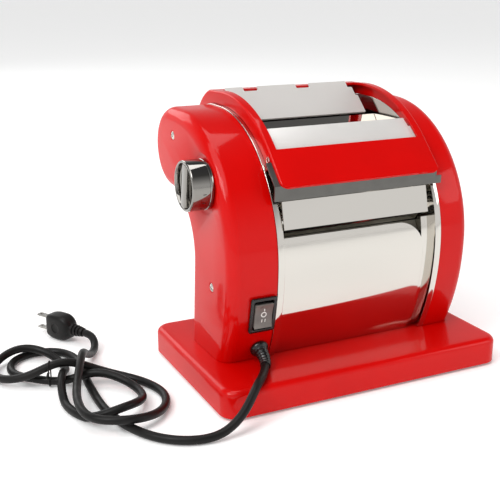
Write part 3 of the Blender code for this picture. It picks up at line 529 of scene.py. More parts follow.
def flat(name, outlines, thickness, edge, place):
    """A flat outline with holes, its edges rounded by `edge`, in the plane that `place` sets."""
    curve = bpy.data.curves.new(name, "CURVE")
    curve.dimensions, curve.fill_mode = "2D", "BOTH"
    curve.extrude, curve.bevel_depth = thickness / 2 - edge, edge
    curve.offset, curve.bevel_resolution = -edge, 2
    for outline in outlines:
        spline = curve.splines.new("POLY")
        spline.points.add(len(outline) - 1)
        for point, spot in zip(spline.points, outline):
            point.co = (*spot, 0, 1)
        spline.use_cyclic_u = True
    made = new_object(name, curve)
    made.matrix_world = place
    bpy.context.view_layer.update()
    return baked(made)


def slab(name, outlines, x0, x1, edge=0.0002):
    """A flat outline in Y and Z from x0 to x1."""
    return flat(name, outlines, abs(x1 - x0), edge, Matrix.Translation(((x0 + x1) / 2, 0, 0)) @ ACROSS)


def block(name, low, high):
    form = bmesh.new()
    bmesh.ops.create_cube(form, size=1)
    bmesh.ops.scale(form, vec=[b - a for a, b in zip(low, high)], verts=form.verts)
    bmesh.ops.translate(form, vec=[(a + b) / 2 for a, b in zip(low, high)], verts=form.verts)
    return from_form(name, form)


def rounded_block(name, low, high, edge, segments=3):
    item = block(name, low, high)
    soft = item.modifiers.new("edges", "BEVEL")
    soft.width, soft.segments = edge, segments
    return baked(item)


def carve(item, cutters, joined=()):
    """Unites the item with some solids, then cuts others out of it."""
    for operation, others in (("UNION", joined), ("DIFFERENCE", cutters)):
        for other in others:
            step = item.modifiers.new("carve", "BOOLEAN")
            step.operation, step.solver, step.object = operation, "EXACT", other
    bpy.context.view_layer.update()
    made = baked(item)
    for other in list(cutters) + list(joined):
        bpy.data.objects.remove(other)
    return made


def corner_cutter(x, way, radius, depth, place, margin=0.0, steps=12):
    """What a lower corner at x, whose edge runs off along `way`, loses when it's rounded."""
    shape = [(x - way * 0.002, -margin), (x + way * radius, -margin)]
    shape += [(x + way * inset, height) for height, inset in rounding(radius, steps)]
    shape.append((x - way * 0.002, radius))
    return flat("corner", [shape], depth, 0.0, place)


def together(item, others):
    """Adds other closed solids to an item's mesh without cutting them into it."""
    form = bmesh.new()
    for part in (item, *others):
        form.from_mesh(part.data)
    name = item.name
    for part in (item, *others):
        bpy.data.objects.remove(part)
    mesh = bpy.data.meshes.new(name)
    form.to_mesh(mesh)
    form.free()
    return new_object(name, mesh)


def dress(item, finish, body, replaced=(), sharp=32, shifted=True):
    """Moves a finished piece to the frame's place, smooths it, and gives it its material and body."""
    if shifted:
        item.data.transform(Matrix.Translation((0, SHIFT, 0)))
    if item.type == "MESH":
        item.data.shade_smooth()
        item.data.set_sharp_from_angle(angle=math.radians(sharp))
    item.data.materials.clear()
    item.data.materials.append(finishes()[finish])
    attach(item, body)
    if replaced:
        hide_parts(*replaced)
    return item


# ---------------------------------------------------------------- stage


FOCAL_LENGTH, SENSOR = 64.71, 36.0
CAMERA_PLACE, CAMERA_TILT, CAMERA_TURN = Vector((-0.400, -0.674, 0.346)), 72.80, -25.646
FLOOR_WIDTH, FLOOR_THICK, FLOOR_TOP = 40, 0.02, -0.0002

# Each soft light: where it stands, what it's aimed at, its width and its power in watts
LIGHTS = {
    "key": ((-2.1, -0.8, 2.1), (0, 0, 0.12), 1.1, 26),
    "fill": ((1.9, -1.5, 1.2), (0, 0, 0.12), 1.0, 7),
    "top": ((0.2, 0.5, 2.6), (0, 0, 0.1), 1.2, 14),
    "rear": ((-0.6, 2.1, 1.3), (0, 0, 0.15), 1.2, 12),
}
SUN_STRENGTH, SUN_ANGLE, SUN_AIM = 1.35, 50, (0.45, 0.25, -1)

# The world's grey at each height, from the horizon up
WORLD_GREYS = ((0.18, 1.0), (0.36, 0.72), (0.58, 0.36), (0.74, 0.13))


def add_lamp(name, light, aim):
    """A light that shines along a direction."""
    lamp = new_object(name, light)
    lamp.rotation_euler = Vector(aim).to_track_quat("-Z", "Y").to_euler()
    return lamp


class PASTA_OT_stage(bpy.types.Operator):
    """Make the camera, the pale floor, the soft lights and the world"""

    bl_idname = "pasta.stage"
    bl_label = "Studio Stage"

    def execute(self, context):
        lens = bpy.data.cameras.new("camera")
        lens.lens, lens.sensor_width = FOCAL_LENGTH, SENSOR
        camera = new_object("camera", lens)
        camera.location = CAMERA_PLACE + Vector((0, SHIFT, 0))
        camera.rotation_euler = (math.radians(CAMERA_TILT), 0, math.radians(CAMERA_TURN))
        context.scene.camera = camera

        sheet = rounded_rectangle(FLOOR_WIDTH, FLOOR_WIDTH, 15, 32)
        middle = Matrix.Translation((0, 0, FLOOR_TOP - FLOOR_THICK / 2))
        floor = flat("floor", [sheet], FLOOR_THICK, 0.002, middle)
        made, tree, shader, place = start("Floor paper matt", context.scene.pasta_colours.floor, 0, 0.85)
        ripple(tree, shader, place, 0.004, 0.00002)
        shader.inputs["Emission Color"].default_value = (1, 1, 1, 1)
        shader.inputs["Emission Strength"].default_value = 0.16
        floor.data.materials.append(made)

        for name, (spot, aim, size, power) in LIGHTS.items():
            light = bpy.data.lights.new(name, "AREA")
            light.shape, light.size, light.energy = "SQUARE", size, power
            add_lamp(name, light, Vector(aim) - Vector(spot)).location = spot
        even = bpy.data.lights.new("even", "SUN")
        even.energy, even.angle = SUN_STRENGTH, math.radians(SUN_ANGLE)
        add_lamp("even", even, SUN_AIM)

        world = bpy.data.worlds.new("studio")
        world.use_nodes = True
        tree = world.node_tree
        place = add_node(tree, "ShaderNodeTexCoord")
        height = add_node(tree, "ShaderNodeSeparateXYZ", None, [("Vector", place, "Generated")])
        ramp = add_node(tree, "ShaderNodeValToRGB", None, [("Fac", height, "Z")])
        elements = ramp.color_ramp.elements
        elements[0].position, elements[0].color = 0.0, (1.0, 1.0, 1.0, 1)
        elements[1].position, elements[1].color = 1.0, (0.10, 0.10, 0.11, 1)
        for position, grey in WORLD_GREYS:
            elements.new(position).color = (grey, grey, grey * 1.01, 1)
        backdrop = tree.nodes["Background"]
        tree.links.new(ramp.outputs["Color"], backdrop.inputs["Color"])
        backdrop.inputs["Strength"].default_value = 0.9
        context.scene.world = world
        context.scene.view_settings.view_transform = "Standard"
        return {"FINISHED"}


# ---------------------------------------------------------------- lead


def smooth_through(points, count):
    """Evenly read points of the natural cubic curve through the given ones."""
    points = np.array(points, float)
    knots = np.append(0, np.cumsum(np.linalg.norm(np.diff(points, axis=0), axis=1)))
    step = np.diff(knots)
    system, right = np.eye(len(points)), np.zeros_like(points)
    for i in range(1, len(points) - 1):
        system[i, i - 1 : i + 2] = step[i - 1], 2 * (step[i - 1] + step[i]), step[i]
        right[i] = 6 * ((points[i + 1] - points[i]) / step[i] - (points[i] - points[i - 1]) / step[i - 1])
    bend = np.linalg.solve(system, right)
    at = np.linspace(0, knots[-1], count)
    piece = np.clip(np.searchsorted(knots, at) - 1, 0, len(step) - 1)
    before = ((knots[piece + 1] - at) / step[piece])[:, None]
    after = 1 - before
    curve = (before**3 - before) * bend[piece] + (after**3 - after) * bend[piece + 1]
    return before * points[piece] + after * points[piece + 1] + curve * (step[piece] ** 2)[:, None] / 6


def tube_curve(name, points, radius, closed=False):
    curve = bpy.data.curves.new(name, "CURVE")
    curve.dimensions, curve.bevel_depth, curve.bevel_resolution = "3D", radius, 6
    curve.use_fill_caps = not closed
    spline = curve.splines.new("POLY")
    spline.points.add(len(points) - 1)
    spline.use_cyclic_u = closed
    for point, place in zip(spline.points, points):
        point.co = (*place, 1)
    spline.use_smooth = True
    return new_object(name, curve)


def make_tie():
    """A twist tie: a wire in a thin sleeve, once round two runs of the lead, with its ends twisted."""
    loop = arc((0, 0.0064), 0.0049, 0, 180, 16) + arc((0, -0.0064), 0.0049, 180, 360, 16)
    across, up, out = Vector((0.40, 0.917, 0)), Vector((0, 0, 1)), Vector((0.917, -0.40, 0))
    wrap = baked(tube_curve("tie_loop", [TIE_PLACE + across * s + up * h for s, h in loop], 0.0006, True))
    root = TIE_PLACE - across * 0.0050 + up * 0.0030
    for side in (0, math.pi):
        ends = []
        for i in range(25):
            t = i / 24
            turn = side + t * 5 * math.pi
            away = root - across * 0.0075 * t - up * 0.002 * t
            ends.append(away + (up * math.cos(turn) + out * math.sin(turn)) * 0.0007)
        wrap = carve(wrap, [], [baked(tube_curve("tie_end", ends, 0.0005))])
    wrap.name = "twist_tie"
    return dress(wrap, "vinyl", "frame", ["cord_tie"])


# The plug's stations: how far along it, half its height, half its thickness
PLUG_STATIONS = (
    (0.0000, 0.0040, 0.0040), (0.0006, 0.0044, 0.0044), (0.0025, 0.0046, 0.0046), (0.0028, 0.0040, 0.0040),
    (0.0040, 0.0040, 0.0040), (0.0043, 0.0050, 0.0050), (0.0062, 0.0052, 0.0052), (0.0065, 0.0044, 0.0044),
    (0.0077, 0.0044, 0.0044), (0.0080, 0.0055, 0.0055), (0.0100, 0.0056, 0.0056), (0.0103, 0.0048, 0.0048),
    (0.0116, 0.0048, 0.0048), (0.0119, 0.0058, 0.0058), (0.0142, 0.0062, 0.0062), (0.0160, 0.0078, 0.0068),
    (0.0185, 0.0100, 0.0078), (0.0215, 0.0118, 0.0083), (0.0250, 0.0127, 0.0086), (0.0300, 0.0128, 0.0086),
    (0.0360, 0.0127, 0.0084), (0.0395, 0.0121, 0.0081), (0.0425, 0.0112, 0.0076), (0.0436, 0.0106, 0.0072),
    (0.0440, 0.0098, 0.0066),
)


def make_plug():
    """A moulded two-blade plug on its edge: ribbed cuff, hexagonal body, a finger dish on each broad side."""
    place = Matrix.Translation(PLUG_PLACE) @ Matrix.Rotation(PLUG_TURN, 4, "Z")
    sections = []
    for along, height, thick in PLUG_STATIONS:
        corner = min(height, thick) * (0.999 if height == thick else 0.55)
        outline = rounded_rectangle(thick * 2, height * 2, corner, 7)
        sections.append([place @ Vector((along, y, z)) for y, z in outline])
    body = loft("plug_moulding", sections)
    nose, cutters, steel = PLUG_STATIONS[-1][0], [], []
    for level, side in (("upper", 1), ("lower", -1)):
        z = side * BLADE_SPACING / 2
        socket = block("socket", (nose - 0.0073, -0.0035, z - 0.0011), (nose + 0.002, 0.0035, z + 0.0011))
        socket.data.transform(place)
        cutters.append(socket)
        outline = rounded_rectangle(0.024, 0.0064, 0.0016, 5)
        hole = circle((0.0075, 0), 0.0016, 24)
        spot = place @ Matrix.Translation((nose - 0.007 + 0.012, 0, z))
        steel.append(flat("blade_" + level, [outline, hole], 0.0015, 0.0003, spot))
    for side in (1, -1):
        profile = [(-0.0011, 0), (-0.0011, 0.0040), (-0.0006, 0.0050), (0.004, 0.0056), (0.004, 0)]
        dish = lathe("dish", profile, (0, 0), 40)
        turn = Matrix.Rotation(math.radians(90 * side), 4, "Z")
        dish.data.transform(place @ Matrix.Translation((0.0305, side * 0.0086, 0)) @ turn)
        cutters.append(dish)
    dress(carve(body, cutters), "vinyl", "frame", ["plug_body"], sharp=40)
    for blade, level in zip(steel, ("upper", "lower")):
        dress(blade, "steel", "frame", ["plug_blade_" + level])
    return [bpy.data.objects[n] for n in ("plug_moulding", "blade_upper", "blade_lower")]


class PASTA_OT_lead(bpy.types.Operator):
    """Make the mains lead, its tie and its plug"""

    bl_idname = "pasta.lead"
    bl_label = "Mains Lead"

    def execute(self, context):
        line = smooth_through(LEAD_ROUTE, 420)
        line[:, 2] = np.maximum(line[:, 2], CORD_R + 0.0001)
        line[:, 1] += SHIFT
        cord = tube_curve("mains_lead", line, CORD_R)
        dress(cord, "vinyl", "frame", ["cord"], shifted=False)
        tie = make_tie()
        plug = make_plug()
        return {"FINISHED"}


def grip_out():
    lean = math.asin((FRONT_Z - GRIP_Z) / SHIN_R)
    return Vector((0, -math.cos(lean), -math.sin(lean)))


def grip_point(depth):
    return Vector((GRIP_X, shin_y(GRIP_Z), GRIP_Z)) - grip_out() * depth


class PASTA_OT_grip(bpy.types.Operator):
    """Make the cable grip where the lead leaves the housing"""

    bl_idname = "pasta.grip"
    bl_label = "Cable Grip"

    def execute(self, context):
        out, end = grip_out(), Vector(LEAD_ROUTE[0])
        leave = (Vector(LEAD_ROUTE[1]) - end).normalized()
        dome = [(0.008, 0.0050), (0.007, GRIP_R), (-0.0004, GRIP_R), (-0.0004, 0.0078), (-0.0010, 0.0082)]
        dome += [(-0.0022, 0.0081), (-0.0034, 0.0077), (-0.0043, 0.0070), (-0.0048, 0.0062)]
        sections = [ring_about(grip_point(depth), out, radius) for depth, radius in dome]
        first = grip_point(-0.0048)
        reach, count = (end - first).length, 36
        for i in range(1, count + 1):
            t = i / count
            h = (2 * t**3 - 3 * t**2 + 1, t**3 - 2 * t**2 + t, 3 * t**2 - 2 * t**3, t**3 - t**2)
            spot = first * h[0] + out * reach * h[1] + end * h[2] + leave * reach * h[3]
            groove = 0.0007 if i % 6 in (3, 4) and i < count - 2 else 0.0
            radius = 0.0059 + (0.0043 - 0.0059) * t - groove
            sections.append(ring_about(spot, out.lerp(leave, t).normalized(), radius))
        dress(loft("strain_relief", sections), "black", "frame", ["cable_grip"], sharp=50)
        return {"FINISHED"}


# ---------------------------------------------------------------- base


class PASTA_OT_base(bpy.types.Operator):
    """Make the enamelled base, its bottom plate and its feet"""

    bl_idname = "pasta.base"
    bl_label = "Base"

    def execute(self, context):
        width, depth = BASE_HIGH.x - BASE_LOW.x, BASE_HIGH.y - BASE_LOW.y
        bottom, top, wall, corner, edge = BASE_LOW.z, BASE_HIGH.z, 0.003, 0.014, 0.0055

        def ring(inset, z):
            outline = rounded_rectangle(width - 2 * inset, depth - 2 * inset, corner - inset * 0.8, 14)
            return [(x, y, z) for x, y in outline]

        sections = [ring(wall, bottom), ring(0.0006, bottom), ring(0, bottom + 0.0006)]
        sections += [ring(0, top - edge)]
        sections += [ring(inset, top - d) for d, inset in rounding(edge, 8)[::-1][1:]]
        sections += [ring(edge + 0.004, top)]
        shell = loft("base_tray", sections)
        inner = loft("inner", [ring(wall + 0.0001, bottom - 0.01), ring(wall, top - wall)])
        dress(carve(shell, [inner]), "enamel", "frame", ["base_shell"])

        low, high = span("base_bottom_plate")
        outline = rounded_rectangle(high.x - low.x, high.y - low.y, 0.0105, 10)
        vents = []
        for i in range(9):
            slit = rounded_rectangle(0.003, 0.026, 0.0014, 4)
            vents.append([(x + (i - 4) * 0.008, y + 0.020) for x, y in slit])
        middle = Matrix.Translation((0, 0, (low.z + high.z) / 2))
        plate = flat("bottom_plate", [outline] + vents, high.z - low.z, 0.0003, middle)
        dress(plate, "grey", "frame", ["base_bottom_plate"])

        for place in ("left_front", "right_front", "left_rear", "right_rear"):
            low, high = span("foot_" + place)
            x, y, radius = (low.x + high.x) / 2, (low.y + high.y) / 2 - SHIFT, (high.x - low.x) / 2
            rings = [(0.0, radius - 0.0016), (0.0004, radius - 0.0008), (0.0012, radius - 0.0002)]
            rings += [(0.0022, radius), (high.z - 0.0006, radius - 0.0006), (high.z, radius - 0.0012)]
            sections = [[(u, v, z) for u, v in circle((x, y), r, 40)] for z, r in rings]
            dress(loft("rubber_foot_" + place, sections), "rubber", "frame", ["foot_" + place])
        return {"FINISHED"}


# ---------------------------------------------------------------- housings


def screw_seat(name, end, side, centre):
    """The counterbore and hole that a housing's screw sits in, as a cutter."""
    profile = [(0.002, 0), (0.002, 0.0047), (0.0, 0.0046), (-0.0003, 0.0042), (-0.0015, 0.0042)]
    profile += [(-0.0015, 0.0019), (-0.006, 0.0019), (-0.006, 0)]
    return lathe(name, [(end + side * x, r) for x, r in profile], centre, 40)


def cross_head(name, face, side, centre, head_r, shank_r, length, rise=0.0012):
    """A pan-head screw with a cross recess; `face` is where its head's underside sits."""
    profile = [(-length, 0), (-length, shank_r), (0, shank_r), (0, head_r), (rise * 0.45, head_r)]
    profile += [(rise * 0.8, head_r * 0.86), (rise, head_r * 0.6), (rise * 1.05, 0)]
    body = lathe(name, [(face + side * x, r) for x, r in profile], centre, 40)
    cutters = []
    reach = Vector((0.0012, head_r * 0.55, head_r * 0.12))
    for tilt in (20, 110):
        bar = block("cross", -reach, reach)
        spot = Vector((face + side * (rise + 0.0003), *centre))
        bar.data.transform(Matrix.Translation(spot) @ Matrix.Rotation(math.radians(tilt), 4, "X"))
        cutters.append(bar)
    return dress(carve(body, cutters), "chrome", "frame", [name.replace("pan_", "")])


REDUCTION_SHAFT, MOTOR_SHAFT = (-0.0095, 0.105153), (0, 0.063729)
SCREW_PLACES = {"upper": (0.0735, 0.2065), "lower": (-0.0105, 0.0895)}


def switch_place():
    lean = math.asin((FRONT_Z - SWITCH_Z) / SHIN_R)
    return Matrix.Translation((SWITCH_X, shin_y(SWITCH_Z), SWITCH_Z)) @ Matrix.Rotation(lean, 4, "X")


class PASTA_OT_housings(bpy.types.Operator):
    """Make the two red end housings and their screws"""

    bl_idname = "pasta.housings"
    bl_label = "End Housings"

    def execute(self, context):
        radius, wall = context.scene.pasta_sizes.housing_round, 0.003
        knob_r = context.scene.pasta_sizes.knob_radius
        for where, end, rim in (("left", LEFT_END, RIM_LEFT), ("right", RIGHT_END, RIM_RIGHT)):
            side = 1 if end > 0 else -1
            edge = rim + side * GAP
            sections = [[(end - side * d, *p) for p in side_outline(-i)] for d, i in rounding(radius, 8)]
            sections.append([(edge, *p) for p in side_outline()])
            low = BODY_FLOOR + wall
            inside = []
            for d, i in rounding(radius - wall, 5):
                inside.append([(end - side * (wall + d), *p) for p in side_outline(-i - wall, low)])
            inside.append([(edge - side * 0.002, *p) for p in side_outline(-wall, low)])
            cutters = [loft("inside", inside)]
            for level, centre in SCREW_PLACES.items():
                cutters.append(screw_seat("seat_" + level, end, side, centre))
            if side < 0:
                dish = [(0.002, 0), (0.002, knob_r + 0.0052), (0.0, knob_r + 0.0048)]
                dish += [(-0.0005, knob_r + 0.0039), (-0.0011, knob_r + 0.0026)]
                dish += [(-0.0013, knob_r + 0.0012), (-0.0013, 0.0042), (-0.006, 0.0042), (-0.006, 0)]
                cutters.append(lathe("dish", [(end - x, r) for x, r in dish], KNOB.yz, 96))
                half_w, half_h = SWITCH_W / 2 - 0.0016, SWITCH_H / 2 - 0.0012
                window = block("window", (-half_w, -0.02, -half_h), (half_w, 0.02, half_h))
                window.data.transform(switch_place())
                cutters.append(window)
                rings = [ring_about(grip_point(d), grip_out(), GRIP_R + GAP) for d in (-0.012, 0.014)]
                cutters.append(loft("bore", rings))
            shell = carve(loft(where + "_cover", sections), cutters)
            dress(shell, "enamel", "frame", [where + "_housing"], sharp=34)
            for level, centre in SCREW_PLACES.items():
                name = "pan_%s_housing_screw_%s" % (where, level)
                cross_head(name, end - side * (0.0015 - GAP), side, centre, 0.0037, 0.0015, 0.0072, 0.0015)
        return {"FINISHED"}


# ---------------------------------------------------------------- plates and sheets


class PASTA_OT_side_plates(bpy.types.Operator):
    """Make the two chromed side plates with their bright rims"""

    bl_idname = "pasta.side_plates"
    bl_label = "Side Plates"

    def execute(self, context):
        up = LIFT_DIRECTION.yz
        tilt = math.degrees(math.atan2(up.y, up.x))
        slot_r, bush_r, travel = 0.0096, 0.0093, 0.0025
        slot = arc(KNOB.yz + up * travel, slot_r, tilt - 90, tilt + 90, 24)
        slot += arc(KNOB.yz - up * GAP, slot_r, tilt + 90, tilt + 270, 24)
        plates = (("left", LEFT_PLATE, RIM_LEFT, -1), ("right", RIGHT_PLATE, RIM_RIGHT, 1))
        for where, inner, outer, side in plates:
            holes = [circle(DRIVE.yz, bush_r), slot]
            if side < 0:
                holes += [circle(REDUCTION_SHAFT, 0.0036, 32), circle(MOTOR_SHAFT, 0.0095, 32)]
            plate = slab(where + "_plate", [side_outline(RIM_PROUD)] + holes, inner, outer, 0.0004)
            hollow = side_outline(RIM_PROUD - 0.002, BODY_FLOOR + 0.0012)
            pocket = slab("pocket", [hollow], inner + side * PLATE, outer + side * 0.002, 0.0)
            joined = []
            if side > 0:
                # A flange folded in beside the apron's short end
                flange = band(front_path(0.0065, 167, BODY_FLOOR + 0.001, 12, 24), PLATE)
                joined.append(slab("flange", [flange], RIGHT_PLATE - 0.0104, RIGHT_PLATE + 0.0006))
            dress(carve(plate, [pocket], joined), "chrome", "frame", [where + "_side_plate"], sharp=40)
        return {"FINISHED"}


def plate_point(down, depth):
    """A point on the hood's flat front plate: so far down from its bend, and so deep behind its face."""
    bend = math.radians(HOOD_BEND)
    top = Vector((HOOD_Y + HOOD_R * math.cos(bend), HOOD_Z + HOOD_R * math.sin(bend)))
    out, along = Vector((math.cos(bend), math.sin(bend))), Vector((-math.sin(bend), math.cos(bend)))
    return tuple(top + along * down - out * depth)


class PASTA_OT_sheets(bpy.types.Operator):
    """Make the apron, the panels, the rail and the dough chute"""

    bl_idname = "pasta.sheets"
    bl_label = "Sheets"

    def execute(self, context):
        skin, back, apron_top = context.scene.pasta_sizes.sheet, 0.0025, 0.1356
        bay = (LEFT_PLATE + GAP, RIGHT_PLATE - GAP)
        top = 180 - math.degrees(math.asin((apron_top - FRONT_Z) / (FRONT_R - back)))
        apron_right, panel_right, corner = RIGHT_PLATE - 0.011, RIGHT_PLATE - 0.0085, 0.026
        apron = slab("apron", [band(front_path(back, top, BODY_FLOOR, 20, 30), skin)], bay[0], apron_right)
        curve = [(apron_right + 0.002, apron_top + 0.004), (apron_right - corner - 0.006, apron_top + 0.004)]
        curve += arc((apron_right - corner, apron_top - corner), corner, 90, 0, 24)
        curve.append((apron_right + 0.002, apron_top - corner))
        upright = Matrix.Translation((0, -0.048, 0)) @ Matrix.Rotation(math.radians(90), 4, "X")
        apron = carve(apron, [flat("corner", [curve], 0.03, 0.0, upright)])
        dress(apron, "chrome", "frame", ["front_apron"], sharp=40)

        front = band([(-0.0429, 0.1664), (-0.0485, 0.1436)], skin)
        dress(slab("upper_panel", [front], bay[0], panel_right), "chrome", "frame", ["front_panel"])

        bend = [plate_point(RAIL_TOP, 0.0030), plate_point(0.0315, 0.0030), (-0.0440, 0.1672)]
        x0, x1 = (corner.x for corner in span("front_rail"))
        rail = slab("rail", [band(bend, 0.0015)], x0, x1, 0.0003)
        upright = Matrix.Translation((0, -0.045, 0.1625)) @ Matrix.Rotation(math.radians(90), 4, "X")
        cutters = [corner_cutter(x, way, 0.0055, 0.06, upright, steps=10) for x, way in ((x0, 1), (x1, -1))]
        # The right end is only a short stub below the hood's corner
        cutters.append(block("ear", (span("hood")[1].x - 0.0008, -0.09, 0.1742), (x1 + 0.01, 0.01, 0.20)))
        # The rail takes the darkened steel: painted shade
        dress(carve(rail, cutters), "zinc", "frame", ["front_rail"], sharp=40)

        rear = band(side_outline(-0.002)[HEAD_START + 11:][::-1], -skin)
        dress(slab("back_panel", [rear], *bay), "brushed", "frame", ["rear_panel"], sharp=40)
        chute = [(0.0575, 0.2145), (0.0300, 0.1800), (0.0150, 0.1610)]
        dress(slab("chute", [band(chute, -skin)], *bay), "chrome", "frame", ["dough_chute"], sharp=40)
        return {"FINISHED"}


# ---------------------------------------------------------------- hood and guides


def hood_path(out=0.0):
    """The hood's outer line, from the back's lower edge over the top to the front edge."""
    path = [(HOOD_REAR + out, HOOD_BACK)]
    path += arc((HEAD_Y, HEAD_Z), HEAD_R + HOOD_R - FRONT_R + out, 0, 72, 30)[1:]
    path += arc((HOOD_Y, HOOD_Z), HOOD_R + out, 84, HOOD_BEND, 40)
    bend, end = math.radians(HOOD_BEND), path[-1]
    path.append((end[0] - math.sin(bend) * HOOD_PLATE, end[1] + math.cos(bend) * HOOD_PLATE))
    return path


class PASTA_OT_hood(bpy.types.Operator):
    """Make the red hood with its hopper window, and its screws"""

    bl_idname = "pasta.hood"
    bl_label = "Hood"

    def execute(self, context):
        low, high = span("hood")
        x0, x1 = low.x, high.x
        lower = [plate_point(HOOD_PLATE, 0.0026), plate_point(RAIL_TOP - 0.0007, 0.0026)]
        lower += arc((FRONT_Y, FRONT_Z), FRONT_R + RIM_PROUD + GAP, 138.8, 90, 40)
        lower += arc((HEAD_Y, HEAD_Z), HEAD_R + RIM_PROUD + GAP, 90, 0, 30)
        edge = rounding(0.0018, 5)
        sections = [[(x0 + d, *p) for p in hood_path(-i) + lower] for d, i in edge]
        sections += [[(x1 - d, *p) for p in hood_path(-i) + lower] for d, i in edge[::-1]]
        inner = hood_path(-HOOD_WALL)
        inner[0] = (inner[0][0], HOOD_BACK - 0.004)
        bend = math.radians(HOOD_BEND)
        inner[-1] = (inner[-1][0] + math.sin(bend) * HOOD_WALL, inner[-1][1] - math.cos(bend) * HOOD_WALL)
        hollow = slab("hollow", [inner + [(0.02, 0.15), (0.09, 0.15)]], x0 + HOOD_WALL, x1 - HOOD_WALL, 0.0)
        sill = 0.0075
        lip = arc((HOOD_Y, HOOD_Z), HOOD_R - 0.017, HOOD_BEND - 1, 82, 3)
        lip += arc((HOOD_Y, HOOD_Z), HOOD_R + 0.018, 82, HOOD_BEND - 1, 3)
        window = slab("window", [lip], x0 + sill, x1 - sill, 0.0)
        cutters = [hollow, window]
        # The front plate's lower corners are rounded
        lean = Matrix.Rotation(math.radians(HOOD_BEND - 90), 4, "X")
        spot = Matrix.Translation((0, *plate_point(HOOD_PLATE, 0))) @ lean
        cutters += [corner_cutter(x, way, 0.007, 0.016, spot, 0.002) for x, way in ((x0, 1), (x1, -1))]
        centre, bore_r = plate_point(0.0040, 0.0055), 0.0016
        ends = (("left", x0, -1), ("right", x1, 1))
        for where, face, side in ends:
            bore = [(face + side * 0.002, bore_r), (face - side * 0.005, bore_r)]
            cutters.append(lathe("bore", bore, centre, 32))
        dress(carve(loft("hopper_hood", sections), cutters), "enamel", "frame", ["hood"], sharp=34)
        for where, face, side in ends:
            name = "pan_hood_screw_" + where
            cross_head(name, face + side * GAP, side, centre, 0.0027, 0.0012, 0.0044, 0.0009)
        return {"FINISHED"}


class PASTA_OT_guides(bpy.types.Operator):
    """Make the two frosted feed guides of the hopper"""

    bl_idname = "pasta.guides"
    bl_label = "Feed Guides"

    def execute(self, context):
        low, high = span("rear_feed_guide")
        slope = band([(0.0868, 0.2440), (0.0585, 0.2176)], 0.0018)
        guide = slab("rear_guide", [slope], low.x, high.x, 0.0004)
        # Two notches in the top edge, then two steps down at the right end: from x, to x, above z, edge
        notches = [(x - 0.0075, x + 0.0075, 0.2402, 0.0012) for x in (-0.035, 0.020)]
        notches.append((high.x - 0.0075, high.x + 0.01, 0.2385, 0.0012))
        notches.append((high.x - 0.0028, high.x + 0.01, 0.2315, 0.0010))
        cutters = [rounded_block("notch", (a, 0.06, z), (b, 0.11, 0.26), edge) for a, b, z, edge in notches]
        dress(carve(guide, cutters), "guides", "frame", ["rear_feed_guide"], sharp=40)

        low, high = span("front_feed_guide")
        centre, radius = (HOOD_Y, HOOD_Z), HOOD_R - HOOD_WALL - 0.0006
        strip = arc(centre, radius, 137, 122.8, 12) + [(0.0135, 0.1965)]
        step = high.x - 0.0032
        thick = 0.0016
        guide = slab("front_guide", [band(strip, -thick)], low.x, step, 0.0004)
        # The right end goes on in two ears, with a notch at the fold between them
        parts = []
        for ear in (arc(centre, radius, 137, 127.5, 8), [(0.0052, 0.2097), (0.0135, 0.1965)]):
            parts.append(slab("ear", [band(ear, -thick)], step - 0.0010, high.x, 0.0004))
        for i in range(5):
            x = low.x + 0.012 + i * (high.x - low.x - 0.024) / 4
            rib = [(0.0010, 0.2150), (0.0118, 0.1975), (0.0131, 0.1975), (0.0022, 0.2152)]
            parts.append(slab("rib", [rib], x - 0.0006, x + 0.0006))
        dress(together(guide, parts), "guides", "frame", ["front_feed_guide"], sharp=40)
        return {"FINISHED"}


# ---------------------------------------------------------------- rollers, knob and switch


class PASTA_OT_rollers(bpy.types.Operator):
    """Make the two rollers and the tie rods"""

    bl_idname = "pasta.rollers"
    bl_label = "Rollers"

    def execute(self, context):
        soft = 0.0008
        bodies = {"drive_roller": "drive_roller_body", "adjusting_roller": "adjusting_roller_body"}
        for name, axis in (("drive_roller", DRIVE), ("adjusting_roller", KNOB)):
            low, high = span(name)
            left, right = LEFT_PLATE + 0.001, RIGHT_PLATE - 0.001
            journals = bar_profile(low.x, high.x, JOURNAL_R, 0.0005)
            barrel = [(left, JOURNAL_R), (left, ROLLER_R - soft), (left + soft * 0.3, ROLLER_R - soft * 0.3)]
            barrel += [(left + soft, ROLLER_R), (right - soft, ROLLER_R)]
            barrel += [(right - soft * 0.3, ROLLER_R - soft * 0.3)]
            barrel += [(right, ROLLER_R - soft), (right, JOURNAL_R)]
            profile = journals[:3] + barrel + journals[3:]
            dress(lathe("ground_" + name, profile, axis.yz, 96), "roller", bodies[name], [name])
        for place in ("front", "rear", "low"):
            low, high = span("tie_rod_" + place)
            centre, radius = ((low.y + high.y) / 2 - SHIFT, (low.z + high.z) / 2), (high.z - low.z) / 2
            profile = bar_profile(low.x, high.x, radius, 0.0005)
            dress(lathe("spacer_rod_" + place, profile, centre, 40), "roller", "frame", ["tie_rod_" + place])
        return {"FINISHED"}


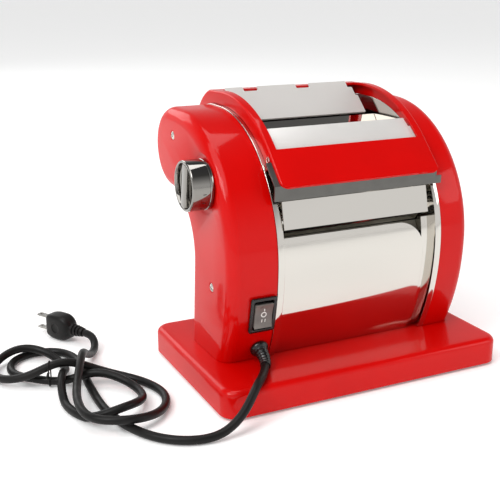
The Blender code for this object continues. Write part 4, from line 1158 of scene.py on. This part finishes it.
class PASTA_OT_knob(bpy.types.Operator):
    """Make the gap regulator's knob with its grip bar and its ring of marks"""

    bl_idname = "pasta.knob"
    bl_label = "Regulator Knob"

    def execute(self, context):
        radius, rim = context.scene.pasta_sizes.knob_radius, 0.0026
        low, high = span("regulator_knob")
        face, back = low.x + 0.0002, high.x
        inner = radius - rim
        profile = [(face + 0.0050, 0), (face + 0.0050, inner - 0.0012), (face + 0.0044, inner - 0.0004)]
        profile += [(face + 0.0010, inner), (face + 0.0002, inner + 0.0004), (face, inner + 0.0009)]
        profile += [(face + d, radius - i) for d, i in rounding(0.0013, 6)[1:]]
        # A shallow groove round the skirt, then the back edge
        profile += [(back - 0.0040, radius), (back - 0.0036, radius - 0.0004)]
        profile += [(back - 0.0030, radius - 0.0004), (back - 0.0026, radius)]
        profile += [(back - 0.0007, radius), (back - 0.0002, radius - 0.0003)]
        profile += [(back, radius - 0.0009), (back, 0)]
        knob = lathe("knob", profile, KNOB.yz, 120)
        reach = inner + 0.0006
        outline = rounded_rectangle(0.0098, reach * 2, 0.0030, 8)
        place = Matrix.Translation((face + 0.0030, KNOB.y, KNOB.z)) @ Matrix.Rotation(math.radians(9), 4, "X")
        bar = flat("bar", [outline], 0.0060, 0.0012, place @ ACROSS)
        bore_start, bore_r = -0.1275, 0.0036
        bore = lathe("bore", [(bore_start, bore_r), (back + 0.004, bore_r)], KNOB.yz, 32)
        # The knob's chrome is darkened: painted shade
        dress(carve(knob, [bore], [bar]), "smoke", "knob_body", ["regulator_knob"], sharp=34)

        # Eight short marks round the side, one for each thickness of dough
        marks = bmesh.new()
        for i in range(8):
            turn = math.radians(100 + i * 22)
            spot = Matrix.Translation((0, KNOB.y, KNOB.z)) @ Matrix.Rotation(turn, 4, "X")
            size = Matrix.Diagonal((0.0030, 0.0006, 0.0001, 1))
            shift = Matrix.Translation((back - 0.0085, 0, radius + 0.00002))
            bmesh.ops.create_cube(marks, size=1, matrix=spot @ shift @ size)
        dress(from_form("knob_marks", marks), "dark_ink", "knob_body")

        low, high = span("regulator_shaft")
        profile = bar_profile(low.x, high.x, 0.0032, 0.0004)
        dress(lathe("knob_shaft", profile, KNOB.yz, 40), "steel", "knob_body", ["regulator_shaft"])
        return {"FINISHED"}


class PASTA_OT_switch(bpy.types.Operator):
    """Make the three-position rocker switch"""

    bl_idname = "pasta.switch"
    bl_label = "Rocker Switch"

    def execute(self, context):
        place = switch_place()
        # Stands an outline up in X and Z, thick along Y
        stand = Matrix(((1, 0, 0, 0), (0, 0, -1, 0), (0, 1, 0, 0), (0, 0, 0, 1)))
        well = rounded_rectangle(SWITCH_W - 0.0064, SWITCH_H - 0.0060, 0.0012, 6)
        frame_outline = rounded_rectangle(SWITCH_W, SWITCH_H, 0.0020, 8)
        neck_outline = rounded_rectangle(SWITCH_W - 0.0040, SWITCH_H - 0.0032, 0.0010, 4)

        def deep(name, outlines, thickness, edge, y):
            return flat(name, outlines, thickness, edge, place @ Matrix.Translation((0, y, 0)) @ stand)

        bezel = deep("bezel", [frame_outline, well], 0.0022, 0.0006, -0.0015)
        neck = deep("neck", [neck_outline, well], 0.0128, 0.0, 0.0058)
        floor = deep("well_floor", [neck_outline], 0.0018, 0.0, 0.0121)
        dress(carve(bezel, [], [neck, floor]), "black", "frame", ["switch_bezel"], sharp=34)

        half_w, half_h = SWITCH_W / 2 - 0.0040, SWITCH_H / 2 - 0.0050

        def face_depth(z):
            return -0.0030 - 0.0016 * (z / half_h) ** 2

        heights = [half_h * (0.97 - 1.94 * i / 20) for i in range(21)]
        outline = [(-0.0040, half_h)] + [(face_depth(z), z) for z in heights] + [(-0.0040, -half_h)]
        outline += [(0.0030, -half_h * 0.80), (0.0052, 0.0), (0.0030, half_h * 0.80)]
        rocker = flat("rocker", [outline], 2 * half_w, 0.0003, place @ ACROSS)
        dress(rocker, "rocker", "rocker_body", ["switch_rocker"], sharp=40)

        marks = []
        for x, z, height in ((0.0, 0.0064, 0.0032), (-0.0015, -0.0050, 0.0042), (0.0015, -0.0050, 0.0042)):
            marks.append((x, z, [rounded_rectangle(0.0008, height, 0.0002, 3)]))
        marks.append((0.0, 0.0012, [circle((0, 0), 0.0026, 40), circle((0, 0), 0.0017, 32)]))
        prints = []
        for x, z, outlines in marks:
            tilt = math.atan(0.0032 * z / half_h**2)
            spot = place @ Matrix.Translation((x, face_depth(z) - 0.0001, z)) @ Matrix.Rotation(-tilt, 4, "X")
            prints.append(flat("print", outlines, 0.0003, 0.0, spot @ stand))
        ink = together(prints[0], prints[1:])
        ink.name = "rocker_marks"
        dress(ink, "ink", "rocker_body")
        return {"FINISHED"}


# ---------------------------------------------------------------- carried-over pieces

CARRIED = {
    "steel": (
        "drive_roller_gear", "adjusting_roller_gear", "drive_wheel", "reduction_pinion", "reduction_shaft",
        "motor_pinion", "motor_shaft", "gear_plate", "regulator_cam", "knob_spring",
    ),
    "brushed": ("motor_body",),
    "nylon": ("drive_scraper", "adjusting_scraper", "reduction_wheel"),
    "bronze": ("drive_bush_left", "drive_bush_right", "roller_block_left", "roller_block_right"),
    "black": ("motor_cap",),
}


class PASTA_OT_mechanism(bpy.types.Operator):
    """Give the gears, bearings, motor and scrapers their materials"""

    bl_idname = "pasta.mechanism"
    bl_label = "Mechanism"

    def execute(self, context):
        for finish, names in CARRIED.items():
            for name in names:
                item = frame["nodes"][name]
                item.data.materials.clear()
                item.data.materials.append(finishes()[finish])
        return {"FINISHED"}


# ---------------------------------------------------------------- panel and run


OPERATORS = (
    PASTA_OT_stage, PASTA_OT_lead, PASTA_OT_grip, PASTA_OT_base, PASTA_OT_housings, PASTA_OT_side_plates,
    PASTA_OT_sheets, PASTA_OT_hood, PASTA_OT_guides, PASTA_OT_rollers, PASTA_OT_knob, PASTA_OT_switch,
    PASTA_OT_mechanism,
)


class PASTA_PT_panel(bpy.types.Panel):
    bl_idname = "PASTA_PT_panel"
    bl_label = "Pasta Roller Machine"
    bl_space_type, bl_region_type, bl_category = "VIEW_3D", "UI", "Pasta Roller"

    def draw(self, context):
        for settings in (context.scene.pasta_sizes, context.scene.pasta_colours):
            for name in settings.__annotations__:
                self.layout.prop(settings, name)
        for operator in OPERATORS:
            self.layout.operator(operator.bl_idname)


CLASSES = (MachineSizes, MachineColours, *OPERATORS, PASTA_PT_panel)


def register():
    for item in CLASSES:
        bpy.utils.register_class(item)
    bpy.types.Scene.pasta_sizes = bpy.props.PointerProperty(type=MachineSizes)
    bpy.types.Scene.pasta_colours = bpy.props.PointerProperty(type=MachineColours)


def unregister():
    del bpy.types.Scene.pasta_colours
    del bpy.types.Scene.pasta_sizes
    for item in reversed(CLASSES):
        bpy.utils.unregister_class(item)


def main():
    register()
    for operator in OPERATORS:
        group, name = operator.bl_idname.split(".")
        getattr(getattr(bpy.ops, group), name)()
    bpy.context.view_layer.update()


if __name__ == "__main__":
    main()
